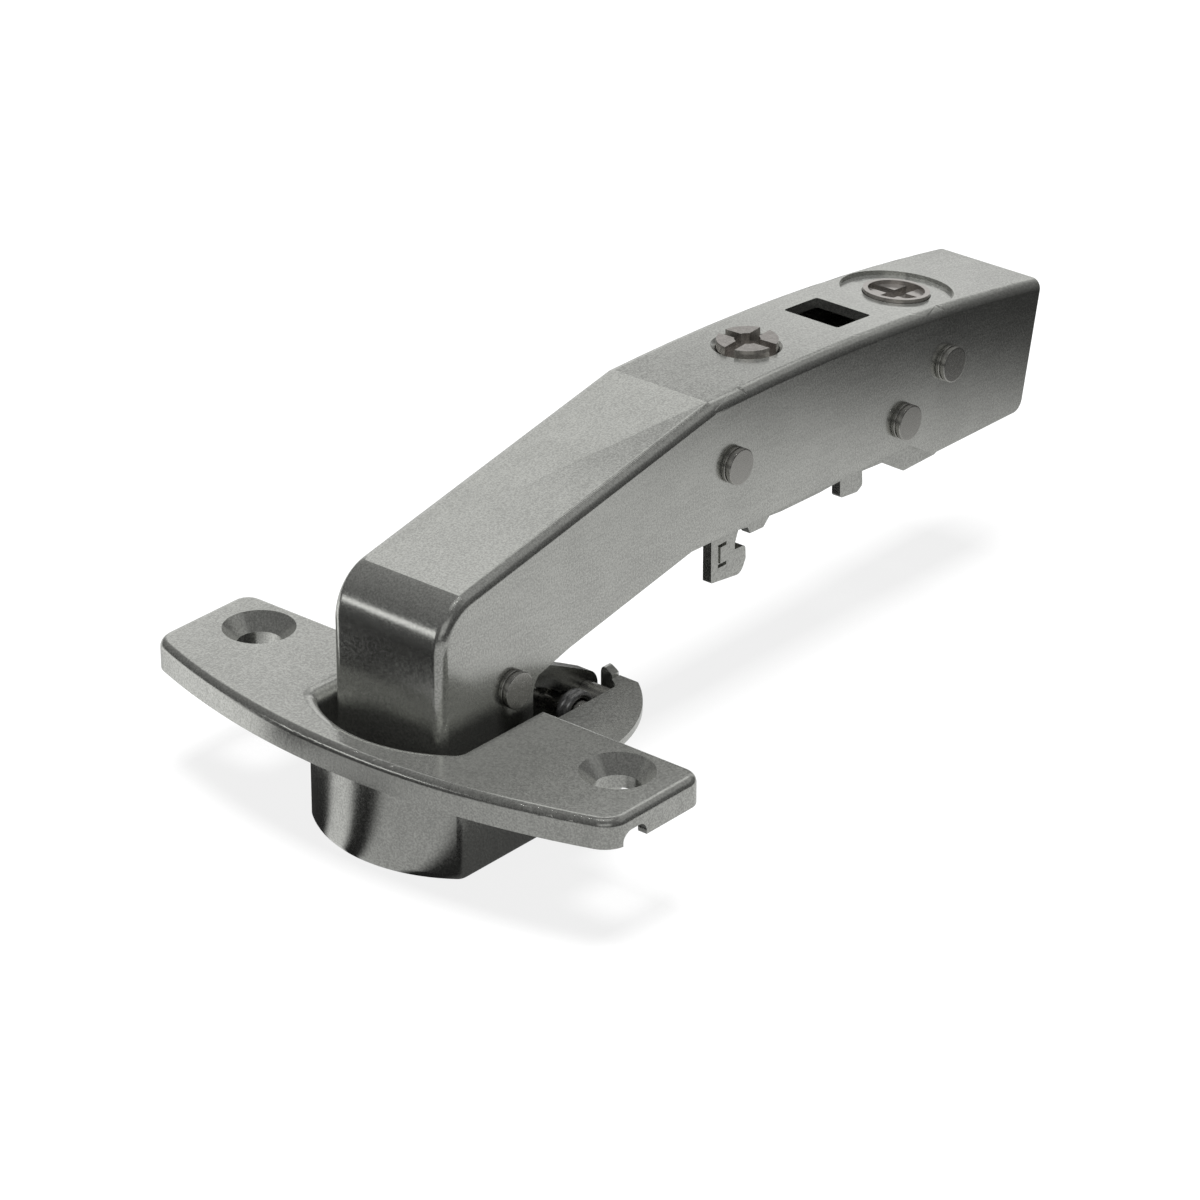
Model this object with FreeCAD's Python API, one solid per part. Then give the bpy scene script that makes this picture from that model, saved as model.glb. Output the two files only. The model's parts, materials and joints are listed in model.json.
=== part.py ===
"""Concealed cabinet hinge with a 35 mm cup, a cranked clip-on arm and two links.

Millimetres. The origin is midway between the flange's two screw holes, on the plane of the
door face. +X runs along the line of the holes, +Y towards the far end of the arm and +Z out
of the door. The hinge is closed: the arm's front leg stands in the cup.
"""
import FreeCAD, Part
import math
import os

V = FreeCAD.Vector
X_AXIS = V(1, 0, 0)
Z_AXIS = V(0, 0, 1)

# Fits
RUNNING = 0.05
SLIDING = 0.2
PRESS = 0.01
SEAT = 0.1
CLEAR = 0.3

# Cup
CUP_RADIUS = 17.5
CUP_CENTRE_Y = 5.5
CUP_HALF_WIDTH = 11.2
CUP_WALL = 1.0
CUP_DEPTH = 12.2
CUP_CORNER = 1.6
CUP_FOOT_ROUND = 1.1
CUP_LIP_ROUND = 1.7
WALL_TOP = 1.3
RIM_RADIUS = 19.1
RIM_THICKNESS = 0.8
RIM_END_Y = 20.8
RIM_INNER_X = 8.8
NOTCH_HALF_WIDTH = 6.0
NOTCH_DEPTH = 4.0
NOTCH_TOP_ROUND = 1.1
NOTCH_FOOT_ROUND = 1.5

# Flange
FLANGE_HEIGHT = 3.4
FLANGE_SHEET = 1.2
FLANGE_HALF_LENGTH = 33.3
FLANGE_REAR_Y = 5.7
FLANGE_FRONT_Y = -15.2
FLANGE_FRONT_RADIUS = 95.0
FLANGE_FRONT_CORNER = 3.2
FLANGE_REAR_CORNER = 2.2
FLANGE_EDGE_ROUND = 1.0
SCREW_SPACING = 52.0
SCREW_HOLE_RADIUS = 2.55
COUNTERSINK_RADIUS = 4.17
COUNTERSINK_DEPTH = 1.9
DIMPLE_WALL = 0.9
END_NOTCH_START_Y = -7.6
END_NOTCH_WIDTH = 3.7
END_NOTCH_HEIGHT = 1.6
END_NOTCH_ROUND = 1.2

# Arm
ARM_HALF_WIDTH = 7.9
ARM_SHEET = 1.2
ARM_EDGE_ROUND = 1.3
ARM_FRONT_Y = -7.6
ARM_FRONT_BEND = 6.1
ARM_SLOPE = 11.0
ARM_SLOPE_START_Z = 19.75
ARM_CROWN_RADIUS = 346.0
ARM_CROWN_Y = 40.75
ARM_CROWN_Z = 27.17
ARM_REAR_TOP_Y = 99.1
ARM_REAR_FOOT_Y = 95.7
ARM_REAR_FOOT_Z = 6.6
ARM_STEP_START = (78.5, 6.87)
ARM_STEP_END = (74.0, 9.55)
ARM_UNDER_KNEE = (34.2, 10.6)
ARM_THROAT = (13.35, 6.75)
ARM_HEEL = (8.2, 5.4)
ARM_LEG_REAR_Y = 7.3
ARM_LEG_FOOT_Z = -7.4
ARM_HEEL_ROUND = 3.0
ARM_FOOT_ROUND = 1.6

# Riveted pins of the arm
ARM_PIN_RADIUS = 1.4
RIVET_RADIUS = 2.15
RIVET_HEIGHT = 1.0
RIVET_COLLAR_HEIGHT = 0.25
RIVET_NECK_RADIUS = 1.85
RIVET_NECK_END = 0.45
RIVET_CHAMFER = 0.15
FLAT_RIVET_RADIUS = 1.85
FLAT_RIVET_HEIGHT = 0.35
FRONT_PIN = (41.7, 18.6)
MIDDLE_PIN = (72.8, 13.1)
REAR_PIN = (81.05, 17.66)

# Four pivots of the hinge and the turns from closed to open, in degrees
CUP_PIVOT_INSET = 4.8
CUP_PIVOT_GAP = 3.8
CUP_OUTER_PIVOT = (CUP_CENTRE_Y + CUP_RADIUS - CUP_PIVOT_INSET, -1.0)
CUP_INNER_PIVOT = (CUP_OUTER_PIVOT[0] - CUP_PIVOT_GAP, -1.2)
ARM_OUTER_PIVOT = (4.0, 5.5)
ARM_INNER_PIVOT = (-1.0, -5.0)
ARM_TURN = -95.0
OUTER_LINK_TURN = -124.0
INNER_LINK_TURN = -130.0
LINK_PIN_RADIUS = 1.2
LINK_PIN_BLIND_DEPTH = 0.6
CUP_PIN_BLIND_DEPTH = 0.3

# Links
EYE_WALL = 1.05
CHEEK_INNER_X = 3.9
CHEEK_OUTER_X = 5.9
CHEEK_THICKNESS = 2.6
CHEEK_ARCH = 1.2
WEB_START = 8.6
WEB_END = 13.0
WEB_THICKNESS = 1.3
INNER_LINK_HALF_WIDTH = 3.4
INNER_LINK_THICKNESS = 3.0
PATH_STEPS = 24

# Damper and closing springs
DAMPER_HALF_WIDTH = 5.6
DAMPER_FRONT_Y = -7.0
DAMPER_REAR_Y = 11.0
DAMPER_TOP_Z = -8.0
DAMPER_ROUND = 1.5
PLUNGER_Y = 8.4
PLUNGER_RADIUS = 1.6
PLUNGER_TIP_RADIUS = 1.2
PLUNGER_TIP_Z = -4.3
SPRING_WIRE = 0.9
SPRING_TURNS = 3
SPRING_MEAN_RADIUS = 1.85
SPRING_INNER_X = 6.35
SPRING_GAP = 0.08

# Top of the arm
OVERLAY_SCREW_Y = 53.5
OVERLAY_HOLE_RADIUS = 3.7
OVERLAY_HOLE_CHAMFER = 0.4
OVERLAY_HEAD_RADIUS = 3.55
OVERLAY_HEAD_PROUD = 0.8
OVERLAY_COLLAR_RADIUS = 4.8
OVERLAY_COLLAR_THICKNESS = 0.9
OVERLAY_SHANK_RADIUS = 2.0
OVERLAY_SHANK_END_Z = 15.6
CROSS_SLOT_WIDTH = 1.3
CROSS_SLOT_DEPTH = 2.0
CROSS_WELL_RADIUS = 1.5
CROSS_SLOT_TURN = 4.0
WINDOW_HALF_WIDTH = 3.95
WINDOW_START_Y = 65.0
WINDOW_END_Y = 71.2
WINDOW_CORNER = 0.4
CAM_Y = 81.2
CAM_RECESS_RADIUS = 6.7
CAM_RECESS_DEPTH = 0.55
CAM_HEAD_RADIUS = 3.95
CAM_HEAD_SUNK = 0.08
CAM_CUP_RADIUS = 3.35
CAM_CUP_DEPTH = 0.5
CAM_CROSS_WIDTH = 1.6
CAM_CROSS_DEPTH = 1.5
CAM_CROSS_TURN = 2.0
CAM_PLATE_THICKNESS = 0.8
CAM_TURN = 150.0
GROOVE_MEAN_RADIUS = 3.6
GROOVE_STEPS = 24

# Adjustment travel
DEPTH_TRAVEL = 1.6
OVERLAY_TILT = 1.5

# Inner frame
FRAME_GAP = 0.2
FRAME_SHEET = 1.2
FRAME_ROOF_Z = 19.0
FRAME_ROOF_SHEET = 1.0
FRAME_ROOF_END_Y = 70.0
FRAME_FRONT_Y = 48.0
FRAME_REAR_Y = 85.0
FRAME_FOOT_Z = 10.6
FRAME_CORNER = 2.0
BOSS_RADIUS = 3.4
BOSS_DEPTH = 2.0
GUIDE_PIN = (60.0, 14.6)
GUIDE_PIN_RADIUS = 1.2

# Clip carrier
CARRIER_SHEET = 1.2
CARRIER_ROOF_SHEET = 1.0
CARRIER_ROOF_START_Y = 46.4
CARRIER_ROOF_END_Y = 90.0
CARRIER_REAR_Y = 93.2
CARRIER_SHOULDER_Z = 15.4
CARRIER_REAR_ROUND = 2.0
FRONT_HOOK_Y = 39.4
REAR_HOOK_Y = 62.8
HOOK_BASE_Z = 7.0
FRONT_HOOK = ((0, -2.75, 0.2), (5.3, -3.45, 1.2), (6.2, -1.8, 0.8), (6.1, -0.1, 0.5))
FRONT_UNDERCUT = ((4.2, 0, 0), (4.2, 0.7, 0), (4.8, 2.2, 0))
FRONT_TAB = ((6.5, 1.9, 0), (6.9, 1.0, 0), (9.3, 0.9, 0), (10.4, 1.9, 0), (12.5, 1.7, 0))
REAR_EDGE = ((-3.9, 1.5, 0), (0, 1.6, 0))
REAR_HOOK = ((0, -0.6, 0.5), (3.2, -0.95, 0.3), (4.2, -0.4, 0.5), (4.1, 1.4, 0))
REAR_FOOT = ((7.9, 1.1, 0), (12.0, -1.4, 0.8), (18.1, -1.4, 0.8), (21.2, 1.4, 1.0))
PEG_RADIUS = 0.7
PEG_LENGTH = 1.55
HOOK_MARK_DEPTH = 0.3
HOOK_MARK_WIDTH = 0.45
HOOK_MARK_INSET = 1.2
HOOK_MARK_LENGTH = 1.5
HOOK_MARK_Z = 5.7
HOOK_MARK_HEIGHT = 2.9

# Release lever
LEVER_PIVOT = (90.0, 15.0)
LEVER_PIN_RADIUS = 1.1
LEVER_HUB_RADIUS = 2.3
LEVER_GAP = 0.5
LEVER_SPRING_HALF_WIDTH = 1.6
LEVER_JAW = (86.2, 7.6)
LEVER_TAB = (95.2, 11.0)
LEVER_THICKNESS = 1.4
LEVER_ROUND = 0.4
LEVER_BEND = 1.2
LEVER_WIRE = 0.6
LEVER_COIL_TURNS = 4

# Sizes that follow from the ones above
CARRIER_OUTER_X = ARM_HALF_WIDTH - ARM_SHEET - FRAME_GAP
CARRIER_INNER_X = CARRIER_OUTER_X - CARRIER_SHEET
CAM_PLATE_RADIUS = CARRIER_OUTER_X
FRAME_OUTER_X = CARRIER_INNER_X - FRAME_GAP
FRAME_INNER_X = FRAME_OUTER_X - FRAME_SHEET
LEVER_HALF_WIDTH = CARRIER_INNER_X - LEVER_GAP
CARRIER_ROOF_Z = FRAME_ROOF_Z + CLEAR + CARRIER_ROOF_SHEET
CUP_FLOOR_Z = -CUP_DEPTH + CUP_WALL
EYE_RADIUS = LINK_PIN_RADIUS + EYE_WALL


def box(x0, x1, y0, y1, z0, z1):
    """A block between two corners."""
    return Part.makeBox(x1 - x0, y1 - y0, z1 - z0, V(x0, y0, z0))


def rod_x(radius, centre, x0, x1):
    """A cylinder along X about the point (y, z)."""
    return Part.makeCylinder(radius, x1 - x0, V(x0, centre[0], centre[1]), X_AXIS)


def disc_z(radius, x, y, z0, z1):
    """A cylinder along Z."""
    return Part.makeCylinder(radius, z1 - z0, V(x, y, z0), Z_AXIS)


def in_side_view(u, v):
    """A point of the side view, where u is Y and v is Z."""
    return V(0, u, v)


def in_front_view(u, v):
    """A point of the front view, where u is X and v is Z."""
    return V(u, 0, v)


def rounded_wire(corners, place):
    """A closed outline through corners (u, v, radius), with the given roundings."""
    count = len(corners)
    edges = []
    first = None
    last = None
    for index, (u, v, radius) in enumerate(corners):
        here = V(u, v, 0)
        before = V(*corners[index - 1][:2], 0)
        after = V(*corners[(index + 1) % count][:2], 0)
        start, middle, end = round_corner(before, here, after, radius)
        if last is not None and (start - last).Length > 1e-6:
            edges.append(Part.LineSegment(place(*last[:2]), place(*start[:2])).toShape())
        if radius > 0:
            arc = Part.Arc(place(*start[:2]), place(*middle[:2]), place(*end[:2]))
            edges.append(arc.toShape())
        first = first or start
        last = end
    if (first - last).Length > 1e-6:
        edges.append(Part.LineSegment(place(*last[:2]), place(*first[:2])).toShape())
    return Part.Wire(edges)


def round_corner(before, here, after, radius):
    """Where a rounding starts, its middle and where it ends."""
    if radius <= 0:
        return here, here, here
    back = (before - here).normalize()
    ahead = (after - here).normalize()
    half = back.getAngle(ahead) / 2
    reach = radius / math.tan(half)
    bisector = (back + ahead).normalize()
    centre = here + bisector * (radius / math.sin(half))
    return here + back * reach, centre - bisector * radius, here + ahead * reach


def plate_x(corners, x0, x1):
    """A plate with an outline in the side view and its thickness along X."""
    face = Part.Face(rounded_wire(corners, in_side_view))
    plate = face.extrude(V(x1 - x0, 0, 0))
    plate.translate(V(x0, 0, 0))
    return plate


def both_sides(make):
    """The same solid on the right and, mirrored, on the left."""
    right = make()
    left = right.mirror(V(0, 0, 0), X_AXIS)
    return right, left


def fuse(shapes):
    """One clean solid from several that touch or overlap."""
    return shapes[0].multiFuse(list(shapes[1:])).removeSplitter()


def is_along(edge, axis):
    """Whether a straight edge runs along an axis."""
    if not isinstance(edge.Curve, Part.Line):
        return False
    return abs(abs(edge.Curve.Direction.dot(axis)) - 1) < 1e-6


def is_level(edge, z):
    """Whether an edge lies in the plane at height z."""
    return all(abs(vertex.Z - z) < 1e-6 for vertex in edge.Vertexes)


def turned(point, centre, degrees):
    """A point (y, z) turned about a centre (y, z), positive from Y towards Z."""
    angle = math.radians(degrees)
    y = point[0] - centre[0]
    z = point[1] - centre[1]
    turned_y = y * math.cos(angle) - z * math.sin(angle)
    turned_z = y * math.sin(angle) + z * math.cos(angle)
    return centre[0] + turned_y, centre[1] + turned_z


def save(node, shape):
    """Write one piece, and say what it is."""
    solids = len(shape.Solids)
    shape.exportStep("parts/%s.step" % node)
    print("%-22s solids %d volume %.1f valid %s" % (node, solids, shape.Volume, shape.isValid()))


def cup_plan(radius, half_width, corner, low, high):
    """A round plan cut by two flats, with rounded upright corners."""
    disc = disc_z(radius, 0, CUP_CENTRE_Y, low, high)
    slab = box(-half_width, half_width, CUP_CENTRE_Y - radius, CUP_CENTRE_Y + radius, low, high)
    plan = disc.common(slab)
    return plan.makeFillet(corner, [edge for edge in plan.Edges if is_along(edge, Z_AXIS)])


def cup_bowl():
    """The bowl's outside, up to the top of its rear wall."""
    bowl = cup_plan(CUP_RADIUS, CUP_HALF_WIDTH, CUP_CORNER, -CUP_DEPTH, WALL_TOP)
    foot = [edge for edge in bowl.Edges if is_level(edge, -CUP_DEPTH)]
    return bowl.makeFillet(CUP_FOOT_ROUND, foot)


def cup_cavity():
    """The space inside the bowl, flared to the flange's top by the lip's rounding."""
    radius = CUP_RADIUS - CUP_WALL
    half_width = CUP_HALF_WIDTH - CUP_WALL
    corner = CUP_CORNER - CUP_WALL / 2
    plan = cup_plan(radius, half_width, corner, CUP_FLOOR_Z, FLANGE_HEIGHT)
    reach = 2 * CUP_RADIUS
    block = box(-reach, reach, -reach, reach, CUP_FLOOR_Z - CUP_WALL, FLANGE_HEIGHT)
    mould = block.cut(plan)
    lip = [edge for edge in mould.Edges if is_level(edge, FLANGE_HEIGHT) and inside_bowl(edge)]
    return block.cut(mould.makeFillet(CUP_LIP_ROUND, lip))


def inside_bowl(edge):
    """Whether an edge lies within the bowl's outside."""
    centre = V(0, CUP_CENTRE_Y, 0)
    return all((V(p.X, p.Y, 0) - centre).Length < CUP_RADIUS for p in edge.Vertexes)


def flange_block(inset, low, high):
    """The flange's plan with a curved front, drawn in by inset."""
    half_length = FLANGE_HALF_LENGTH - inset
    front_y = FLANGE_FRONT_Y + inset
    slab = box(-half_length, half_length, front_y, FLANGE_REAR_Y - inset, low, high)
    front_centre_y = FLANGE_FRONT_Y + FLANGE_FRONT_RADIUS
    bow = disc_z(FLANGE_FRONT_RADIUS - inset, 0, front_centre_y, low, high)
    block = slab.common(bow)
    upright = [edge for edge in block.Edges if is_along(edge, Z_AXIS)]
    front = [edge for edge in upright if edge.Vertexes[0].Y < 0]
    block = block.makeFillet(FLANGE_FRONT_CORNER - inset / 2, front)
    upright = [edge for edge in block.Edges if is_along(edge, Z_AXIS)]
    limit = FLANGE_REAR_Y - inset - 1e-3
    rear = [edge for edge in upright if edge.Vertexes[0].Y > limit]
    return block.makeFillet(FLANGE_REAR_CORNER - inset / 2, rear)


def flange_shell():
    """The raised flange: a top sheet with a skirt all round, open underneath."""
    shell = flange_block(0, 0, FLANGE_HEIGHT)
    top = [edge for edge in shell.Edges if is_level(edge, FLANGE_HEIGHT)]
    shell = shell.makeFillet(FLANGE_EDGE_ROUND, top)
    hollow = flange_block(FLANGE_SHEET, -1, FLANGE_HEIGHT - FLANGE_SHEET)
    return shell.cut(hollow)


def rear_rim():
    """The flat rim that covers the edge of the drilled hole behind the flange."""
    rims = []
    start_y = FLANGE_REAR_Y - FLANGE_SHEET / 2
    for side in (-1, 1):
        disc = disc_z(RIM_RADIUS, 0, CUP_CENTRE_Y, 0, RIM_THICKNESS)
        low_x = min(side * RIM_INNER_X, side * RIM_RADIUS)
        high_x = max(side * RIM_INNER_X, side * RIM_RADIUS)
        rims.append(disc.common(box(low_x, high_x, start_y, RIM_END_Y, 0, RIM_THICKNESS)))
    return rims


def rear_wall_steps():
    """What is cut from the rear wall: the lower top beside the rim, and the notch."""
    reach = 2 * CUP_RADIUS
    steps = []
    for side in (-1, 1):
        low_x = min(side * RIM_INNER_X, side * reach)
        high_x = max(side * RIM_INNER_X, side * reach)
        steps.append(box(low_x, high_x, FLANGE_REAR_Y, reach, RIM_THICKNESS, WALL_TOP + 1))
    inner = NOTCH_HALF_WIDTH
    outer = RIM_INNER_X
    top = WALL_TOP
    corners = [(-outer, top + 1, 0), (-outer, top, 0), (-inner, top, NOTCH_TOP_ROUND)]
    corners += [(-inner, -NOTCH_DEPTH, NOTCH_FOOT_ROUND), (inner, -NOTCH_DEPTH, NOTCH_FOOT_ROUND)]
    corners += [(inner, top, NOTCH_TOP_ROUND), (outer, top, 0), (outer, top + 1, 0)]
    face = Part.Face(rounded_wire(corners, in_front_view))
    notch = face.extrude(V(0, CUP_RADIUS, 0))
    notch.translate(V(0, CUP_CENTRE_Y + CUP_RADIUS / 2, 0))
    return steps + [notch]


def countersink(x):
    """The dimple's metal, down to the door face, and the hole through it, for the screw at x."""
    bottom = FLANGE_HEIGHT - COUNTERSINK_DEPTH
    under = bottom - DIMPLE_WALL
    middle = FLANGE_HEIGHT - FLANGE_SHEET / 2
    wide = COUNTERSINK_RADIUS + DIMPLE_WALL
    narrow = SCREW_HOLE_RADIUS + DIMPLE_WALL
    funnel = Part.makeCone(narrow, wide, middle - under, V(x, 0, under))
    neck = disc_z(narrow, x, 0, 0, under)
    cone = Part.makeCone(SCREW_HOLE_RADIUS, COUNTERSINK_RADIUS, COUNTERSINK_DEPTH, V(x, 0, bottom))
    return funnel.fuse(neck), cone.fuse(disc_z(SCREW_HOLE_RADIUS, x, 0, -under, bottom))


def end_notch(side):
    """The notch in the lower edge of an end skirt."""
    start = END_NOTCH_START_Y
    end = start + END_NOTCH_WIDTH
    corners = [(start, -1, 0), (end, -1, 0), (end, END_NOTCH_HEIGHT, END_NOTCH_ROUND)]
    corners += [(start, END_NOTCH_HEIGHT, END_NOTCH_ROUND)]
    edge = side * FLANGE_HALF_LENGTH
    depth = 2 * FLANGE_SHEET
    return plate_x(corners, edge - depth, edge + depth)


def make_cup():
    """Bowl, flange and rear rim in one drawn piece."""
    bowl = cup_bowl()
    riser = cup_plan(CUP_RADIUS, CUP_HALF_WIDTH, CUP_CORNER, 0, FLANGE_HEIGHT - FLANGE_SHEET / 2)
    riser = riser.common(flange_block(FLANGE_SHEET / 2, 0, FLANGE_HEIGHT))
    metals = []
    holes = []
    for side in (-1, 1):
        metal, hole = countersink(side * SCREW_SPACING / 2)
        metals.append(metal)
        holes += [hole, end_notch(side)]
    body = fuse([bowl, flange_shell(), riser] + rear_rim() + metals)
    for tool in [cup_cavity()] + rear_wall_steps() + holes:
        body = body.cut(tool)
    reach = CUP_HALF_WIDTH - CUP_WALL + CUP_PIN_BLIND_DEPTH + PRESS
    for pivot in (CUP_OUTER_PIVOT, CUP_INNER_PIVOT):
        body = body.cut(rod_x(LINK_PIN_RADIUS + PRESS, pivot, -reach, reach))
    return body.removeSplitter()


def make_cup_pin(pivot):
    """A plain pin held in blind holes of the cup's flats."""
    reach = CUP_HALF_WIDTH - CUP_WALL + CUP_PIN_BLIND_DEPTH
    return rod_x(LINK_PIN_RADIUS, pivot, -reach, reach)


def below_slope(half_width, inset):
    """Everything behind the front wall and below the sloped top, drawn in by inset."""
    rise = math.tan(math.radians(ARM_SLOPE))
    start_z = ARM_SLOPE_START_Z - inset / math.cos(math.radians(ARM_SLOPE))
    front_y = ARM_FRONT_Y + inset
    rear_y = ARM_REAR_TOP_Y + ARM_EDGE_ROUND
    foot_z = ARM_LEG_FOOT_Z - 1
    corners = [(front_y, foot_z, 0), (front_y, start_z + rise * front_y, ARM_FRONT_BEND - inset)]
    corners += [(rear_y, start_z + rise * rear_y, 0), (rear_y, foot_z, 0)]
    return plate_x(corners, -half_width, half_width)


def below_crown(half_width, inset):
    """Everything below the gently crowned rear top, drawn in by inset."""
    front_y = ARM_FRONT_Y - ARM_EDGE_ROUND
    rear_y = ARM_REAR_TOP_Y + ARM_EDGE_ROUND
    foot_z = ARM_LEG_FOOT_Z - 1
    start = crown_point(front_y, inset)
    end = crown_point(rear_y, inset)
    low_start = V(0, front_y, foot_z)
    low_end = V(0, rear_y, foot_z)
    edges = [Part.Arc(start, crown_point((front_y + rear_y) / 2, inset), end).toShape()]
    edges += [Part.LineSegment(end, low_end).toShape(), Part.LineSegment(low_end, low_start).toShape()]
    edges.append(Part.LineSegment(low_start, start).toShape())
    block = Part.Face(Part.Wire(edges)).extrude(V(2 * half_width, 0, 0))
    block.translate(V(-half_width, 0, 0))
    return block


def crown_point(y, inset):
    """A point of the gently crowned rear top, drawn in by inset."""
    radius = ARM_CROWN_RADIUS - inset
    return V(0, y, ARM_CROWN_Z - ARM_CROWN_RADIUS + math.sqrt(radius ** 2 - (y - ARM_CROWN_Y) ** 2))


def round_sides(block, rear_y):
    """Round a block's side edges, apart from those along its foot and its rear end."""
    foot_z = ARM_LEG_FOOT_Z - 1
    picked = []
    for edge in block.Edges:
        at_foot = is_level(edge, foot_z)
        at_rear = all(abs(vertex.Y - rear_y) < 1e-6 for vertex in edge.Vertexes)
        if not (is_along(edge, X_AXIS) or at_foot or at_rear):
            picked.append(edge)
    return block.makeFillet(ARM_EDGE_ROUND, picked)


def arm_side_outline():
    """The arm's side view below its roof: rear end, underside, heel and leg."""
    high = ARM_CROWN_Z + 1
    corners = [(ARM_FRONT_Y - 1, high, 0), (ARM_FRONT_Y - 1, ARM_LEG_FOOT_Z, 0)]
    corners += [(ARM_LEG_REAR_Y, ARM_LEG_FOOT_Z, ARM_FOOT_ROUND)]
    corners += [(ARM_LEG_REAR_Y, ARM_HEEL[1] - 1, ARM_HEEL_ROUND), (*ARM_HEEL, 0)]
    corners += [(*ARM_THROAT, 0), (*ARM_UNDER_KNEE, 0), (*ARM_STEP_END, 0), (*ARM_STEP_START, 0)]
    corners += [(ARM_REAR_FOOT_Y, ARM_REAR_FOOT_Z, ARM_FOOT_ROUND)]
    rear_top = crown_point(ARM_REAR_TOP_Y, 0)
    lean = (rear_top.y - ARM_REAR_FOOT_Y) / (rear_top.z - ARM_REAR_FOOT_Z)
    return corners + [(rear_top.y + lean * (high - rear_top.z), high, 0)]


def arm_outer_block():
    """The arm's outside as one block, with rounded edges along its top and front."""
    rear_y = ARM_REAR_TOP_Y + ARM_EDGE_ROUND
    front = round_sides(below_slope(ARM_HALF_WIDTH, 0), rear_y)
    crown = below_crown(ARM_HALF_WIDTH, 0)
    arcs = [edge for edge in crown.Edges if isinstance(edge.Curve, Part.Circle)]
    crown = crown.makeFillet(ARM_EDGE_ROUND, arcs)
    side = plate_x(arm_side_outline(), -ARM_HALF_WIDTH, ARM_HALF_WIDTH)
    return front.common(crown).common(side)


def arm_inner_block():
    """The space between the arm's walls, open below and to the rear."""
    half_width = ARM_HALF_WIDTH - ARM_SHEET
    return below_slope(half_width, ARM_SHEET).common(below_crown(half_width, ARM_SHEET))


def seated_on_top(shape, y):
    """Move a shape made about the origin to the arm's top at y, square to the surface."""
    lean = math.degrees(math.asin((y - ARM_CROWN_Y) / ARM_CROWN_RADIUS))
    shape.rotate(V(0, 0, 0), X_AXIS, -lean)
    shape.translate(crown_point(y, 0))
    return shape


def top_z(y):
    """The height of the crowned top at y."""
    return crown_point(y, 0).z


def make_arm_shell():
    """The cranked arm, folded from one sheet: roof, front wall and two side walls."""
    shell = arm_outer_block().cut(arm_inner_block())
    pad_low = -CAM_RECESS_DEPTH - ARM_SHEET
    pad = disc_z(CAM_RECESS_RADIUS, 0, 0, pad_low, -ARM_SHEET / 2)
    shell = shell.fuse(seated_on_top(pad, CAM_Y))
    recess = disc_z(CAM_RECESS_RADIUS, 0, 0, -CAM_RECESS_DEPTH, ARM_SHEET)
    bore = disc_z(CAM_HEAD_RADIUS + SEAT, 0, 0, pad_low - ARM_SHEET, ARM_SHEET)
    window = box(-WINDOW_HALF_WIDTH, WINDOW_HALF_WIDTH, WINDOW_START_Y, WINDOW_END_Y,
                 CARRIER_ROOF_Z, ARM_CROWN_Z + ARM_SHEET)
    upright = [edge for edge in window.Edges if is_along(edge, Z_AXIS)]
    openings = [seated_on_top(recess.fuse(bore), CAM_Y), overlay_hole()]
    openings.append(window.makeFillet(WINDOW_CORNER, upright))
    reach = ARM_HALF_WIDTH + ARM_SHEET
    for pivot in (ARM_OUTER_PIVOT, FRONT_PIN, MIDDLE_PIN, REAR_PIN):
        openings.append(rod_x(ARM_PIN_RADIUS + PRESS, pivot, -reach, reach))
    openings.append(rod_x(LINK_PIN_RADIUS + PRESS, ARM_INNER_PIVOT, -reach, reach))
    for opening in openings:
        shell = shell.cut(opening)
    return shell.removeSplitter()


def overlay_hole():
    """The chamfered hole in the roof for the overlay screw."""
    top = top_z(OVERLAY_SCREW_Y)
    bore = disc_z(OVERLAY_HOLE_RADIUS, 0, OVERLAY_SCREW_Y, top - 2 * ARM_SHEET, top + 1)
    wide = OVERLAY_HOLE_RADIUS + OVERLAY_HOLE_CHAMFER + 1
    start = V(0, OVERLAY_SCREW_Y, top - OVERLAY_HOLE_CHAMFER)
    chamfer = Part.makeCone(OVERLAY_HOLE_RADIUS, wide, OVERLAY_HOLE_CHAMFER + 1, start)
    return bore.fuse(chamfer)


def rivet_head(centre):
    """A round head over a thin collar, with a groove between them, on the right side wall."""
    wall = ARM_HALF_WIDTH
    collar = rod_x(RIVET_RADIUS, centre, wall, wall + RIVET_COLLAR_HEIGHT)
    neck = rod_x(RIVET_NECK_RADIUS, centre, wall, wall + RIVET_NECK_END)
    head = rod_x(RIVET_RADIUS, centre, wall + RIVET_NECK_END, wall + RIVET_HEIGHT)
    rims = [edge for edge in head.Edges if isinstance(edge.Curve, Part.Circle)]
    return fuse([head.makeChamfer(RIVET_CHAMFER, rims), neck, collar])


def make_arm_pin(centre):
    """A pin across the arm with a riveted head on each side."""
    shaft = rod_x(ARM_PIN_RADIUS, centre, -ARM_HALF_WIDTH, ARM_HALF_WIDTH)
    right, left = both_sides(lambda: rivet_head(centre))
    return fuse([shaft, right, left])


def make_link_pin_inner():
    """The lower pin of the arm, with flat heads that clear the cup's flats."""
    wall = ARM_HALF_WIDTH
    shaft = rod_x(LINK_PIN_RADIUS, ARM_INNER_PIVOT, -wall, wall)
    right, left = both_sides(lambda: rod_x(FLAT_RIVET_RADIUS, ARM_INNER_PIVOT, wall,
                                           wall + FLAT_RIVET_HEIGHT))
    return fuse([shaft, right, left])


def link_frame(start, end):
    """Unit directions along a link and square to it, and its length."""
    along = V(0, end[0] - start[0], end[1] - start[1])
    length = along.Length
    along.normalize()
    across = X_AXIS.cross(along)
    return along, across, length


def on_link(start, end, distance, height):
    """The point (y, z) at a distance along a link and a height above its centre line."""
    along, across, _ = link_frame(start, end)
    point = V(0, *start) + along * distance - across * height
    return point.y, point.z


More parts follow.
